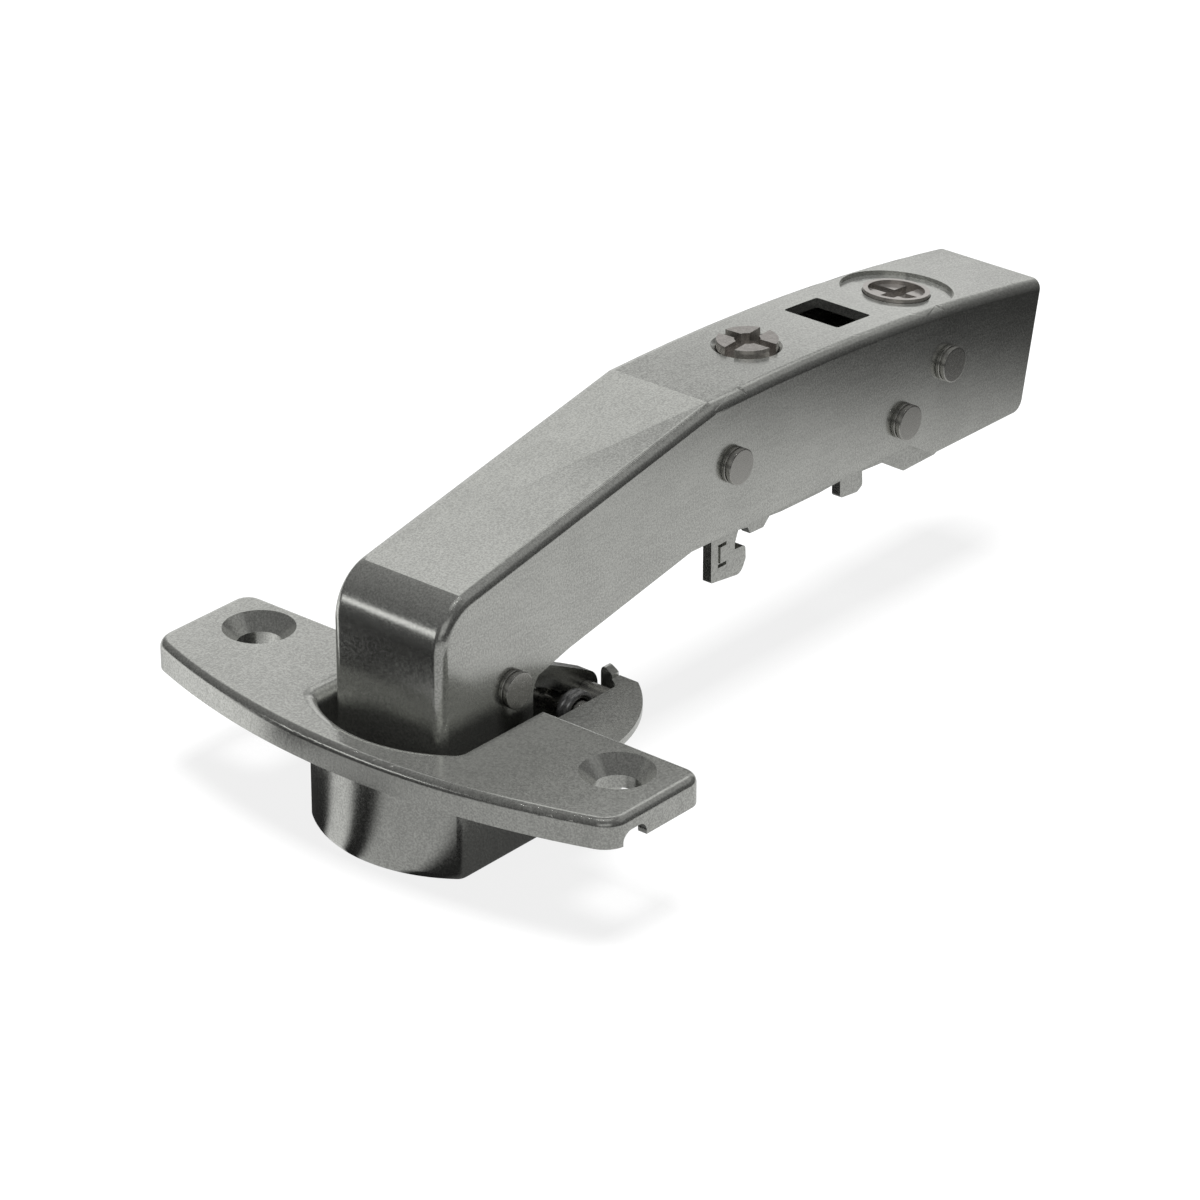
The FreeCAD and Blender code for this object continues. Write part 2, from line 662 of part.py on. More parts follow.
def cheek(x0, x1):
    """One cheek of the outer link: an arched plate between two eyes."""
    start = CUP_OUTER_PIVOT
    end = ARM_OUTER_PIVOT
    length = link_frame(start, end)[2]
    eye = ARM_PIN_RADIUS + EYE_WALL
    high = CHEEK_ARCH + CHEEK_THICKNESS / 2
    low = CHEEK_ARCH - CHEEK_THICKNESS / 2
    places = [(0, EYE_RADIUS), (length / 2, high), (length, eye)]
    places += [(length, -eye), (length / 2, low), (0, -EYE_RADIUS)]
    points = [V(0, *on_link(start, end, distance, height)) for distance, height in places]
    edges = [Part.Arc(*points[:3]).toShape(), Part.LineSegment(points[2], points[3]).toShape()]
    edges += [Part.Arc(*points[3:]).toShape(), Part.LineSegment(points[5], points[0]).toShape()]
    plate = Part.Face(Part.Wire(edges)).extrude(V(x1 - x0, 0, 0))
    plate.translate(V(x0, 0, 0))
    return fuse([plate, rod_x(EYE_RADIUS, start, x0, x1), rod_x(eye, end, x0, x1)])


def bar_on_link(start, end, span, heights, half_width):
    """A full-width bar along a link, between two distances and two heights."""
    corners = []
    for distance, height in ((span[0], heights[0]), (span[1], heights[0]),
                             (span[1], heights[1]), (span[0], heights[1])):
        corners.append((*on_link(start, end, distance, height), 0))
    return plate_x(corners, -half_width, half_width)


def make_outer_link():
    """Two cheeks with eyes on both pins, joined by a web over the arm's pin."""
    start = CUP_OUTER_PIVOT
    end = ARM_OUTER_PIVOT
    right, left = both_sides(lambda: cheek(CHEEK_INNER_X, CHEEK_OUTER_X))
    top = CHEEK_ARCH + CHEEK_THICKNESS / 2
    web = bar_on_link(start, end, (WEB_START, WEB_END), (top - WEB_THICKNESS, top), CHEEK_OUTER_X)
    link = fuse([right, left, web.common(cheek(-CHEEK_OUTER_X, CHEEK_OUTER_X))])
    reach = ARM_HALF_WIDTH
    holes = [(LINK_PIN_RADIUS + RUNNING, start), (ARM_PIN_RADIUS + RUNNING, end)]
    holes.append((LINK_PIN_RADIUS + CLEAR, CUP_INNER_PIVOT))
    for radius, centre in holes:
        link = link.cut(rod_x(radius, centre, -reach, reach))
    return link.removeSplitter()


def inner_link_path(count):
    """Where the arm's inner pin lies, seen from the inner link, from closed to open."""
    places = []
    for step in range(count + 1):
        part = step / count
        pivot = turned(ARM_OUTER_PIVOT, CUP_OUTER_PIVOT, OUTER_LINK_TURN * part)
        offset = (ARM_INNER_PIVOT[0] - ARM_OUTER_PIVOT[0] + pivot[0],
                  ARM_INNER_PIVOT[1] - ARM_OUTER_PIVOT[1] + pivot[1])
        pin = turned(offset, pivot, ARM_TURN * part)
        places.append(turned(pin, CUP_INNER_PIVOT, -INNER_LINK_TURN * part))
    return places


def open_eye():
    """Centre and radius of the inner link's open eye, wide enough for the pin's path."""
    places = inner_link_path(PATH_STEPS)
    ys = [place[0] for place in places]
    zs = [place[1] for place in places]
    centre = ((min(ys) + max(ys)) / 2, (min(zs) + max(zs)) / 2)
    play = max(math.hypot(y - centre[0], z - centre[1]) for y, z in places)
    return centre, play + LINK_PIN_RADIUS + SEAT


def make_inner_link():
    """The middle link: a bar with a close eye on the cup's pin and an open eye on the arm's."""
    half = INNER_LINK_HALF_WIDTH
    centre, hole = open_eye()
    start = CUP_INNER_PIVOT
    length = link_frame(start, centre)[2]
    side = INNER_LINK_THICKNESS / 2
    bar = bar_on_link(start, centre, (0, length), (-side, side), half)
    small_eye = rod_x(EYE_RADIUS, start, -half, half)
    large_eye = rod_x(hole + EYE_WALL, centre, -half, half)
    link = fuse([bar, small_eye, large_eye])
    link = link.cut(rod_x(LINK_PIN_RADIUS + RUNNING, start, -half - 1, half + 1))
    return link.cut(rod_x(hole, centre, -half - 1, half + 1)).removeSplitter()


def make_damper_housing():
    """The damper's block on the cup's floor, with a guide hole for the plunger."""
    block = box(-DAMPER_HALF_WIDTH, DAMPER_HALF_WIDTH, DAMPER_FRONT_Y, DAMPER_REAR_Y,
                CUP_FLOOR_Z, DAMPER_TOP_Z)
    upright = [edge for edge in block.Edges if is_along(edge, Z_AXIS)]
    block = block.makeFillet(DAMPER_ROUND, upright)
    floor = CUP_FLOOR_Z + FLANGE_SHEET / 2
    return block.cut(disc_z(PLUNGER_RADIUS + RUNNING, 0, PLUNGER_Y, floor, DAMPER_TOP_Z + 1))


def make_damper_plunger():
    """The damper's stem, with a slim tip under the inner link."""
    foot = CUP_FLOOR_Z + FLANGE_SHEET / 2 + SEAT
    stem = disc_z(PLUNGER_RADIUS, 0, PLUNGER_Y, foot, PLUNGER_TIP_Z - 1)
    tip = Part.makeCone(PLUNGER_RADIUS, PLUNGER_TIP_RADIUS, 1, V(0, PLUNGER_Y, PLUNGER_TIP_Z - 1))
    return stem.fuse(tip).removeSplitter()


def bent_wire(points, diameter):
    """A round wire along straight runs, with balls at its bends."""
    radius = diameter / 2
    pieces = []
    for start, end in zip(points, points[1:]):
        run = end - start
        pieces.append(Part.makeCylinder(radius, run.Length, start, run))
    for point in points[1:-1]:
        pieces.append(Part.makeSphere(radius, point))
    return fuse(pieces)


def coil(centre, mean_radius, diameter, turns, x0):
    """Close-wound turns of a leg spring about (y, z), joined side by side along their top."""
    y, z = centre
    pitch = diameter + SPRING_GAP
    rings = []
    for turn in range(turns):
        place = V(x0 + diameter / 2 + turn * pitch, y, z)
        rings.append(Part.makeTorus(mean_radius, diameter / 2, place, X_AXIS))
    half = diameter / 4
    top = z + mean_radius
    end_x = x0 + diameter / 2 + pitch * (turns - 1)
    bridge = box(x0 + diameter / 2, end_x, y - half, y + half, top - half, top + half)
    return rings + [bridge], end_x


def closing_spring():
    """The right closing spring: turns on the inner pin, and two legs."""
    mean = SPRING_MEAN_RADIUS
    pieces, outer_x = coil(CUP_INNER_PIVOT, mean, SPRING_WIRE, SPRING_TURNS, SPRING_INNER_X)
    y, z = CUP_INNER_PIVOT
    low = z - mean
    inner_x = SPRING_INNER_X + SPRING_WIRE / 2
    floor = CUP_FLOOR_Z + SPRING_WIRE / 2
    foot = [V(outer_x, y, low), V(outer_x, y, floor), V(outer_x, CUP_CENTRE_Y, floor)]
    eye_y, eye_z = CUP_OUTER_PIVOT
    under = eye_z - EYE_RADIUS - CLEAR - SPRING_WIRE / 2
    leg = [V(inner_x, y, low), V(inner_x, y, under), V(inner_x, eye_y, under)]
    leg.append(V(CHEEK_INNER_X, eye_y, under))
    pieces += [bent_wire(foot, SPRING_WIRE), bent_wire(leg, SPRING_WIRE)]
    return fuse(pieces)


def cross_slots(reach, width, turn, low, high):
    """Two crossed bars that cut a screwdriver's slot, turned about Z."""
    bars = []
    for angle in (turn, turn + 90):
        bar = box(-reach, reach, -width / 2, width / 2, low, high)
        bar.rotate(V(0, 0, 0), Z_AXIS, angle)
        bars.append(bar)
    return bars[0].fuse(bars[1])


def make_overlay_screw():
    """The front screw: a slotted head through the roof, a collar under it and a shank."""
    y = OVERLAY_SCREW_Y
    top = top_z(y) + OVERLAY_HEAD_PROUD
    collar_top = top_z(y) - crown_drop(y, OVERLAY_COLLAR_RADIUS) - ARM_SHEET - SEAT
    collar_low = collar_top - OVERLAY_COLLAR_THICKNESS
    head = disc_z(OVERLAY_HEAD_RADIUS, 0, y, collar_low, top)
    collar = disc_z(OVERLAY_COLLAR_RADIUS, 0, y, collar_low, collar_top)
    shank = disc_z(OVERLAY_SHANK_RADIUS, 0, y, OVERLAY_SHANK_END_Z, collar_low)
    low = top - CROSS_SLOT_DEPTH
    reach = OVERLAY_HEAD_RADIUS + 1
    cross = cross_slots(reach, CROSS_SLOT_WIDTH, CROSS_SLOT_TURN, low, top + 1)
    cross = cross.fuse(disc_z(CROSS_WELL_RADIUS, 0, 0, low, top + 1))
    cross.translate(V(0, y, 0))
    return fuse([head, collar, shank]).cut(cross).removeSplitter()


def crown_drop(y, reach):
    """How far the crowned top falls within a reach behind y."""
    return max(top_z(y) - top_z(y + reach), top_z(y) - top_z(y - reach), 0)


def spiral_groove():
    """The cam's groove for the carrier's peg, from one end of the depth travel to the other."""
    low, high = cam_plate_span()
    width = PEG_RADIUS + SLIDING + RUNNING
    tools = []
    last = None
    for step in range(GROOVE_STEPS + 1):
        part = 2 * step / GROOVE_STEPS - 1
        radius = GROOVE_MEAN_RADIUS + DEPTH_TRAVEL * part
        angle = math.radians(90 - CAM_TURN * part)
        here = V(radius * math.cos(angle), radius * math.sin(angle), low - 1)
        tools.append(Part.makeCylinder(width, high - low + 1, here))
        if last is not None:
            tools.append(slot_between(last, here, width, high - low + 1))
        last = here
    return fuse(tools)


def slot_between(start, end, half_width, height):
    """A block as wide as a groove, from one of its points to the next."""
    run = end - start
    block = Part.makeBox(run.Length, 2 * half_width, height, V(0, -half_width, 0))
    block.rotate(V(0, 0, 0), Z_AXIS, math.degrees(math.atan2(run.y, run.x)))
    block.translate(start)
    return block


def cam_plate_span():
    """The lower and upper level of the cam's plate, measured from the arm's top."""
    high = -CAM_RECESS_DEPTH - ARM_SHEET - SEAT
    return high - CAM_PLATE_THICKNESS, high


def make_depth_cam():
    """The rear cam: a ring-shaped head in the recess, with a grooved plate under the roof."""
    top = -CAM_HEAD_SUNK
    low, high = cam_plate_span()
    head = disc_z(CAM_HEAD_RADIUS, 0, 0, low, top)
    cam = head.fuse(disc_z(CAM_PLATE_RADIUS, 0, 0, low, high))
    cam = cam.cut(disc_z(CAM_CUP_RADIUS, 0, 0, top - CAM_CUP_DEPTH, top + 1))
    foot = top - CAM_CROSS_DEPTH
    cross = cross_slots(CAM_HEAD_RADIUS, CAM_CROSS_WIDTH, CAM_CROSS_TURN, foot, top + 1)
    cam = cam.cut(cross.common(disc_z(CAM_CUP_RADIUS, 0, 0, foot, top + 1)))
    return seated_on_top(cam.cut(spiral_groove()).removeSplitter(), CAM_Y)


def peg_centre_y():
    """Where the carrier's peg stands: in the middle of the leaning cam's groove."""
    marker = Part.Vertex(0, GROOVE_MEAN_RADIUS, sum(cam_plate_span()) / 2)
    return seated_on_top(marker, CAM_Y).Y


def pin_slot(centre, radius, extra_length, extra_height, half_width):
    """A slot along Y about a pin, with extra room along and across it."""
    y, z = centre
    corners = []
    for u, v in ((-1, -1), (1, -1), (1, 1), (-1, 1)):
        corner_y = y + u * (radius + extra_length)
        corners.append((corner_y, z + v * (radius + extra_height), radius))
    return plate_x(corners, -half_width, half_width)


def slide_slot(centre, radius, half_width):
    """A slot for a pin of the arm past which the carrier slides and tilts."""
    tilt = math.radians(OVERLAY_TILT)
    rise = abs(centre[0] - REAR_PIN[0]) * tilt
    shift = abs(centre[1] - REAR_PIN[1]) * tilt
    return pin_slot(centre, radius, DEPTH_TRAVEL + shift + SLIDING, rise + SEAT, half_width)


def make_overlay_frame():
    """The inner frame: two walls and a roof, turning on the arm's rear cross pin."""
    corners = [(FRAME_FRONT_Y, FRAME_FOOT_Z, FRAME_CORNER), (FRAME_REAR_Y, FRAME_FOOT_Z, FRAME_CORNER)]
    corners += [(FRAME_REAR_Y, FRAME_ROOF_Z, FRAME_CORNER), (FRAME_FRONT_Y, FRAME_ROOF_Z, 0)]
    outer = plate_x(corners, -FRAME_OUTER_X, FRAME_OUTER_X)
    roof_under = FRAME_ROOF_Z - FRAME_ROOF_SHEET
    outer = outer.cut(box(-FRAME_INNER_X, FRAME_INNER_X, 0, FRAME_ROOF_END_Y, 0, roof_under))
    outer = outer.cut(box(-FRAME_INNER_X, FRAME_INNER_X, FRAME_ROOF_END_Y, FRAME_REAR_Y + 1, 0,
                          FRAME_ROOF_Z + 1))
    boss_low = roof_under - BOSS_DEPTH
    boss_high = roof_under + FRAME_ROOF_SHEET / 2
    frame = outer.fuse(disc_z(BOSS_RADIUS, 0, OVERLAY_SCREW_Y, boss_low, boss_high))
    screw_hole = OVERLAY_SHANK_RADIUS + CLEAR
    frame = frame.cut(disc_z(screw_hole, 0, OVERLAY_SCREW_Y, boss_low - 1, FRAME_ROOF_Z + 1))
    reach = FRAME_OUTER_X + 1
    frame = frame.cut(rod_x(ARM_PIN_RADIUS + RUNNING, REAR_PIN, -reach, reach))
    frame = frame.cut(rod_x(GUIDE_PIN_RADIUS + PRESS, GUIDE_PIN, -reach, reach))
    return frame.cut(tilt_hole(MIDDLE_PIN, ARM_PIN_RADIUS, reach)).removeSplitter()


def tilt_hole(centre, radius, half_width):
    """A round hole with room for a pin that the frame tilts past."""
    tilt = math.radians(OVERLAY_TILT)
    reach = math.hypot(centre[0] - REAR_PIN[0], centre[1] - REAR_PIN[1])
    return rod_x(radius + reach * tilt + SLIDING, centre, -half_width, half_width)


def make_guide_pin():
    """The pin of the inner frame on which the carrier slides."""
    return rod_x(GUIDE_PIN_RADIUS, GUIDE_PIN, -CARRIER_OUTER_X, CARRIER_OUTER_X)


def from_hook(corners, hook_y):
    """Corners (y, z, rounding) measured from a hook's front edge and the hooks' base level."""
    return [(hook_y + y, HOOK_BASE_Z + z, radius) for y, z, radius in corners]


def carrier_outline():
    """The carrier's wall in the side view, from the front hook round to its shoulder."""
    roof = CARRIER_ROOF_Z
    step = CARRIER_ROOF_SHEET
    outline = [(FRONT_HOOK_Y, CARRIER_SHOULDER_Z, step)]
    outline += from_hook(FRONT_HOOK + FRONT_UNDERCUT + FRONT_TAB, FRONT_HOOK_Y)
    outline += from_hook(REAR_EDGE + REAR_HOOK + REAR_FOOT, REAR_HOOK_Y)
    outline += [(CARRIER_REAR_Y, HOOK_BASE_Z + 2 * step, step)]
    outline += [(CARRIER_REAR_Y, roof - LEVER_HUB_RADIUS, CARRIER_REAR_ROUND)]
    outline += [(CARRIER_ROOF_END_Y, roof, step), (CARRIER_ROOF_START_Y, roof, 0)]
    return outline + [(CARRIER_ROOF_START_Y - step, CARRIER_SHOULDER_Z, step)]


def hook_mark():
    """The narrow C-shaped groove pressed into the front hook's outer face."""
    y0 = FRONT_HOOK_Y + HOOK_MARK_INSET
    y1 = y0 + HOOK_MARK_LENGTH
    z0 = HOOK_MARK_Z
    z1 = z0 + HOOK_MARK_HEIGHT
    w = HOOK_MARK_WIDTH
    corners = [(y0, z0, 0), (y1, z0, 0), (y1, z0 + w, 0), (y0 + w, z0 + w, 0), (y0 + w, z1 - w, 0)]
    corners += [(y1, z1 - w, 0), (y1, z1, 0), (y0, z1, 0)]
    return plate_x(corners, CARRIER_OUTER_X - HOOK_MARK_DEPTH, CARRIER_OUTER_X + 1)


def make_clip_carrier():
    """The clip carrier: two walls with hooks and a roof with the peg for the cam."""
    roof = CARRIER_ROOF_Z
    under = roof - CARRIER_ROOF_SHEET
    outer = plate_x(carrier_outline(), -CARRIER_OUTER_X, CARRIER_OUTER_X)
    carrier = outer.cut(box(-CARRIER_INNER_X, CARRIER_INNER_X, 0, ARM_REAR_TOP_Y, 0, under))
    carrier = carrier.cut(box(-CARRIER_INNER_X, CARRIER_INNER_X, CARRIER_ROOF_END_Y - 1, ARM_REAR_TOP_Y,
                              0, roof + 1))
    peg = disc_z(PEG_RADIUS, 0, peg_centre_y(), under + CARRIER_ROOF_SHEET / 2, roof + PEG_LENGTH)
    carrier = carrier.fuse(peg)
    opening_x = OVERLAY_SHANK_RADIUS + CLEAR
    opening_y = OVERLAY_SHANK_RADIUS + CLEAR + DEPTH_TRAVEL
    carrier = carrier.cut(box(-opening_x, opening_x, OVERLAY_SCREW_Y - opening_y,
                              OVERLAY_SCREW_Y + opening_y, under - 1, roof + 1))
    carrier = carrier.cut(box(-WINDOW_HALF_WIDTH, WINDOW_HALF_WIDTH, WINDOW_START_Y - DEPTH_TRAVEL,
                              WINDOW_END_Y + DEPTH_TRAVEL, under - 1, roof + 1))
    reach = CARRIER_OUTER_X + 1
    for pin in (REAR_PIN, MIDDLE_PIN):
        carrier = carrier.cut(slide_slot(pin, ARM_PIN_RADIUS, reach))
    carrier = carrier.cut(pin_slot(GUIDE_PIN, GUIDE_PIN_RADIUS, DEPTH_TRAVEL + SLIDING, SEAT, reach))
    carrier = carrier.cut(rod_x(LEVER_PIN_RADIUS + PRESS, LEVER_PIVOT, -reach, reach))
    for mark in both_sides(hook_mark):
        carrier = carrier.cut(mark)
    return carrier.removeSplitter()


def make_lever_pin():
    """The release lever's pin across the carrier's walls."""
    return rod_x(LEVER_PIN_RADIUS, LEVER_PIVOT, -CARRIER_OUTER_X, CARRIER_OUTER_X)


def make_release_lever():
    """The latch: a hub on the pin, a jaw below it and a finger tab behind."""
    y, z = LEVER_PIVOT
    jaw_y, jaw_z = LEVER_JAW
    tab_y, tab_z = LEVER_TAB
    t = LEVER_THICKNESS
    half = LEVER_HALF_WIDTH
    bend = LEVER_BEND
    small = LEVER_ROUND
    front_y = jaw_y - t
    outline = [(y - t, z, 0), (jaw_y, jaw_z + 2 * t, small), (front_y, jaw_z + t, small)]
    outline += [(front_y, jaw_z, small), (jaw_y + 2 * t, jaw_z, bend)]
    outline += [(y + t, z - LEVER_HUB_RADIUS - t, bend), (tab_y, tab_z, small)]
    outline += [(tab_y, tab_z + t, small), (y + t, z, 0)]
    body = plate_x(outline, -half, half).fuse(rod_x(LEVER_HUB_RADIUS, LEVER_PIVOT, -half, half))
    gap = LEVER_SPRING_HALF_WIDTH + CLEAR
    body = body.cut(rod_x(LEVER_HUB_RADIUS + CLEAR, LEVER_PIVOT, -gap, gap))
    return body.cut(rod_x(LEVER_PIN_RADIUS + RUNNING, LEVER_PIVOT, -half - t, half + t)).removeSplitter()


def make_lever_spring():
    """The small leg spring that holds the release lever shut."""
    y, z = LEVER_PIVOT
    mean = LEVER_PIN_RADIUS + SEAT + LEVER_WIRE / 2
    width = LEVER_COIL_TURNS * (LEVER_WIRE + SPRING_GAP) - SPRING_GAP
    pieces, last_x = coil(LEVER_PIVOT, mean, LEVER_WIRE, LEVER_COIL_TURNS, -width / 2)
    reach_z = CARRIER_ROOF_Z - CARRIER_ROOF_SHEET - CLEAR - LEVER_WIRE / 2
    front = y - 3 * mean
    pieces.append(bent_wire([V(last_x, y - mean, z), V(last_x, front, z), V(last_x, front, reach_z)],
                            LEVER_WIRE))
    return fuse(pieces)


def pieces():
    """Every piece of the hinge by name."""
    right_spring, left_spring = both_sides(closing_spring)
    return {
        "cup": make_cup(),
        "cup_pin_outer": make_cup_pin(CUP_OUTER_PIVOT),
        "cup_pin_inner": make_cup_pin(CUP_INNER_PIVOT),
        "closing_spring_right": right_spring,
        "closing_spring_left": left_spring,
        "damper_housing": make_damper_housing(),
        "damper_plunger": make_damper_plunger(),
        "outer_link": make_outer_link(),
        "inner_link": make_inner_link(),
        "arm_shell": make_arm_shell(),
        "link_pin_outer": make_arm_pin(ARM_OUTER_PIVOT),
        "link_pin_inner": make_link_pin_inner(),
        "front_cross_pin": make_arm_pin(FRONT_PIN),
        "middle_cross_pin": make_arm_pin(MIDDLE_PIN),
        "rear_cross_pin": make_arm_pin(REAR_PIN),
        "overlay_screw": make_overlay_screw(),
        "overlay_frame": make_overlay_frame(),
        "guide_pin": make_guide_pin(),
        "depth_cam": make_depth_cam(),
        "clip_carrier": make_clip_carrier(),
        "release_lever": make_release_lever(),
        "lever_pin": make_lever_pin(),
        "lever_spring": make_lever_spring(),
    }


def main():
    os.makedirs("parts", exist_ok=True)
    for node, shape in pieces().items():
        save(node, shape)


main()
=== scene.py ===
"""Concealed cabinet hinge: satin nickel finishes, turned pins, wound springs, a fine screw
thread, and the studio in which the hinge stands. Metres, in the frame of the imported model."""

import json
import math

import bpy
from mathutils import Matrix, Vector

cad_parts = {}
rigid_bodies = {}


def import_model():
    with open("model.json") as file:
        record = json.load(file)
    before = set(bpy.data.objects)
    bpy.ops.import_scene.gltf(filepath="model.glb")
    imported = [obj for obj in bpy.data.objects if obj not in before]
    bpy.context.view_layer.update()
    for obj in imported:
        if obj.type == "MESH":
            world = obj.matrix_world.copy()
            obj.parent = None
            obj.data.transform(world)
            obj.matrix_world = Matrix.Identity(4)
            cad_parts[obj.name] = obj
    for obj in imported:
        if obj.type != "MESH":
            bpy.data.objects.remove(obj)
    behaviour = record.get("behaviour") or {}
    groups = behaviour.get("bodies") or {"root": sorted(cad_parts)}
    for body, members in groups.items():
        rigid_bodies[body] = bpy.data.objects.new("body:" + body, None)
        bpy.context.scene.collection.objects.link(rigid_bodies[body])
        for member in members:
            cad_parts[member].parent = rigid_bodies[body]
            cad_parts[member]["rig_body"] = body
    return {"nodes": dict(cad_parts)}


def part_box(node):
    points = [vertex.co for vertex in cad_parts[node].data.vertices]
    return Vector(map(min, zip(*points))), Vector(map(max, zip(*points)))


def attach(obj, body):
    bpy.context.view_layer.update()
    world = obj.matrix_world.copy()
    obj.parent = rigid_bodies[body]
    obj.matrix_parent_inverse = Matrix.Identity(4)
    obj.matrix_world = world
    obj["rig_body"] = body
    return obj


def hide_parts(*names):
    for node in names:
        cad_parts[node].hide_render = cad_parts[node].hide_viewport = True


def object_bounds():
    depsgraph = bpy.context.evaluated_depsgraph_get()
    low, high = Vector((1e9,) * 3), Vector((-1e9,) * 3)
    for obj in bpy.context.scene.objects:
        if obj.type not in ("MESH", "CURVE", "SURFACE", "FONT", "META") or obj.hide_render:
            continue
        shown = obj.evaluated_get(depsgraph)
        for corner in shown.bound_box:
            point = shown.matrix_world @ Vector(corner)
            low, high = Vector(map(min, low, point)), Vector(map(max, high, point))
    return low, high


bl_info = {
    "name": "Concealed Cabinet Hinge",
    "version": (1, 0, 0),
    "blender": (4, 5, 0),
    "location": "View3D > Sidebar > Hinge",
    "description": "Finishes a concealed cabinet hinge and stands it in a soft studio",
    "category": "Add Mesh",
}

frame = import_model()
cad_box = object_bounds()

MM = 0.001
Z_AXIS = Vector((0, 0, 1))

# Places on the hinge, as the part is made: the arm's crowned back and the cup's flange.
CROWN_Y = 40.75 * MM
CROWN_TOP = 27.17 * MM
CROWN_RADIUS = 346 * MM
FLANGE_TOP = 3.4 * MM
FLANGE_ROUND = 1.0 * MM
BOWL_CENTRE = Vector((0, 5.5 * MM))
SCREW_HOLE_X = 26 * MM

# Skins: which corners take an exact normal. A match is the cosine between two directions.
SEAM = 0.001 * MM
SKIN_SHARP = math.radians(32)
SKIN_WEIGHT = 90
LEAST_LEAN = 0.2
CROWN_MATCH = 0.9925
CLOSE_MATCH = 0.93
FAIR_MATCH = 0.8
RIM_REACH = 19.5 * MM
SCREW_HOLE_REACH = 5.5 * MM

# Turned and wound pieces.
TURNED_SHARP = math.radians(40)
WOUND_SHARP = math.radians(50)
THREAD_SIDES = 6
THREAD_STEPS = 48
EDGE_STEPS = 4
BEND_STEPS = 6
COIL_STEPS = 40
BEND_IN_WIRES = 1.2
COIL_GAP = 0.08 * MM
LEG_DROP = 1.8 * MM
THREAD_RISE = 2.2 * MM

# Steep steps in a turned profile, which need a little length.
STEP_LENGTH = 0.005 * MM
SLIVER = 0.001 * MM

# Light panels of the studio: strength, then azimuths, elevations and softness in degrees.
PANELS = (
    (0.50, (98, 152), (-8, 52), 8),
    (0.24, (98, 152), (9, 19), 4),
    (0.14, (98, 160), (38, 52), 6),
    (-0.30, (98, 132), (23, 36), 3),
    (0.14, (134, 152), (20, 36), 3),
    (0.16, (15, 98), (28, 60), 3),
    (1.90, (222, 246), (10, 16), 3),
    (0.40, (285, 335), (12, 40), 10),
    (0.35, (0, 360), (74, 100), 8),
)

# How bright metal sees the floor about FLOOR_MIDDLE, a painted reflection with painted highlights
# and shade: stops of azimuth in degrees, and level. The near stops are the part beside the cup,
# dark there for painted shadow under the flange. They give way to the far stops between the
# NEAR_ENDS.
FLOOR_MIDDLE = (0.0, -8 * MM, 0.0)
NEAR_PAINTED_REFLECTION = ((0, 0.10), (90, 0.10), (196, 0.02), (204, 0.85), (222, 0.85), (231, 0.02),
              (250, 0.02), (263, 0.50), (322, 0.50), (334, 0.02), (352, 0.02), (360, 0.10))
FAR_PAINTED_REFLECTION = ((0, 0.55), (18, 0.60), (45, 0.70), (180, 0.70), (190, 1.0), (209, 1.0),
             (219, 0.48), (300, 0.48), (360, 0.55))
NEAR_ENDS = (24 * MM, 29 * MM)

# Painted shade on that floor: a dark flag painted in front, the arm's own shade painted beside it,
# and painted shade over all beyond the hinge.
PAINTED_FLAG_AZIMUTHS = (213, 270)
PAINTED_FLAG_SOFT = 4
PAINTED_FLAG_STARTS = (34 * MM, 38 * MM)
UNDER_ARM_X = (-45 * MM, -6 * MM)
UNDER_ARM_Y = (6 * MM, 88 * MM)
UNDER_ARM_SOFT = 4 * MM
BEYOND_WAY = (0.76, 0.65)
BEYOND_STARTS = (98 * MM, 140 * MM)
SHADE_DEPTH = 0.97

# Floor, lamp and camera. FLOOR_TO_LIGHT is the floor's colour for rays that light the hinge.
FLOOR_GAP = 0.02 * MM
FLOOR_WHITE_SHARE = 0.85
FLOOR_TO_LIGHT = (0.03, 0.03, 0.03, 1)
WHITE = (1, 1, 1, 1)
LAMP_PLACE = Vector((0.02, 0.0, 0.9))
LAMP_AIM = Vector((0.02, 0.03, 0))
LAMP_SIZE = 0.5
SENSOR_WIDTH = 36
CLIP_START = 0.01


class Term:
    """One output of a node, which takes part in sums as a Python value does."""

    def __init__(self, graph, socket):
        self.graph = graph
        self.socket = socket

    def math(self, operation, *terms):
        """The Math node that works out an operation on this term and the others."""
        values = dict(enumerate((self,) + terms))
        return self.graph.add("ShaderNodeMath", {"operation": operation}, values)

    def after(self, operation, value):
        """The Math node that works out an operation on a plain value and this term."""
        return self.graph.add("ShaderNodeMath", {"operation": operation}, {0: value, 1: self})

    def __add__(self, other):
        return self.math("ADD", other)

    def __radd__(self, other):
        return self.after("ADD", other)

    def __sub__(self, other):
        return self.math("SUBTRACT", other)

    def __rsub__(self, other):
        return self.after("SUBTRACT", other)

    def __mul__(self, other):
        return self.math("MULTIPLY", other)

    def __rmul__(self, other):
        return self.after("MULTIPLY", other)

    def __truediv__(self, other):
        return self.math("DIVIDE", other)

    def __gt__(self, other):
        return self.math("GREATER_THAN", other)

    def __lt__(self, other):
        return self.math("LESS_THAN", other)


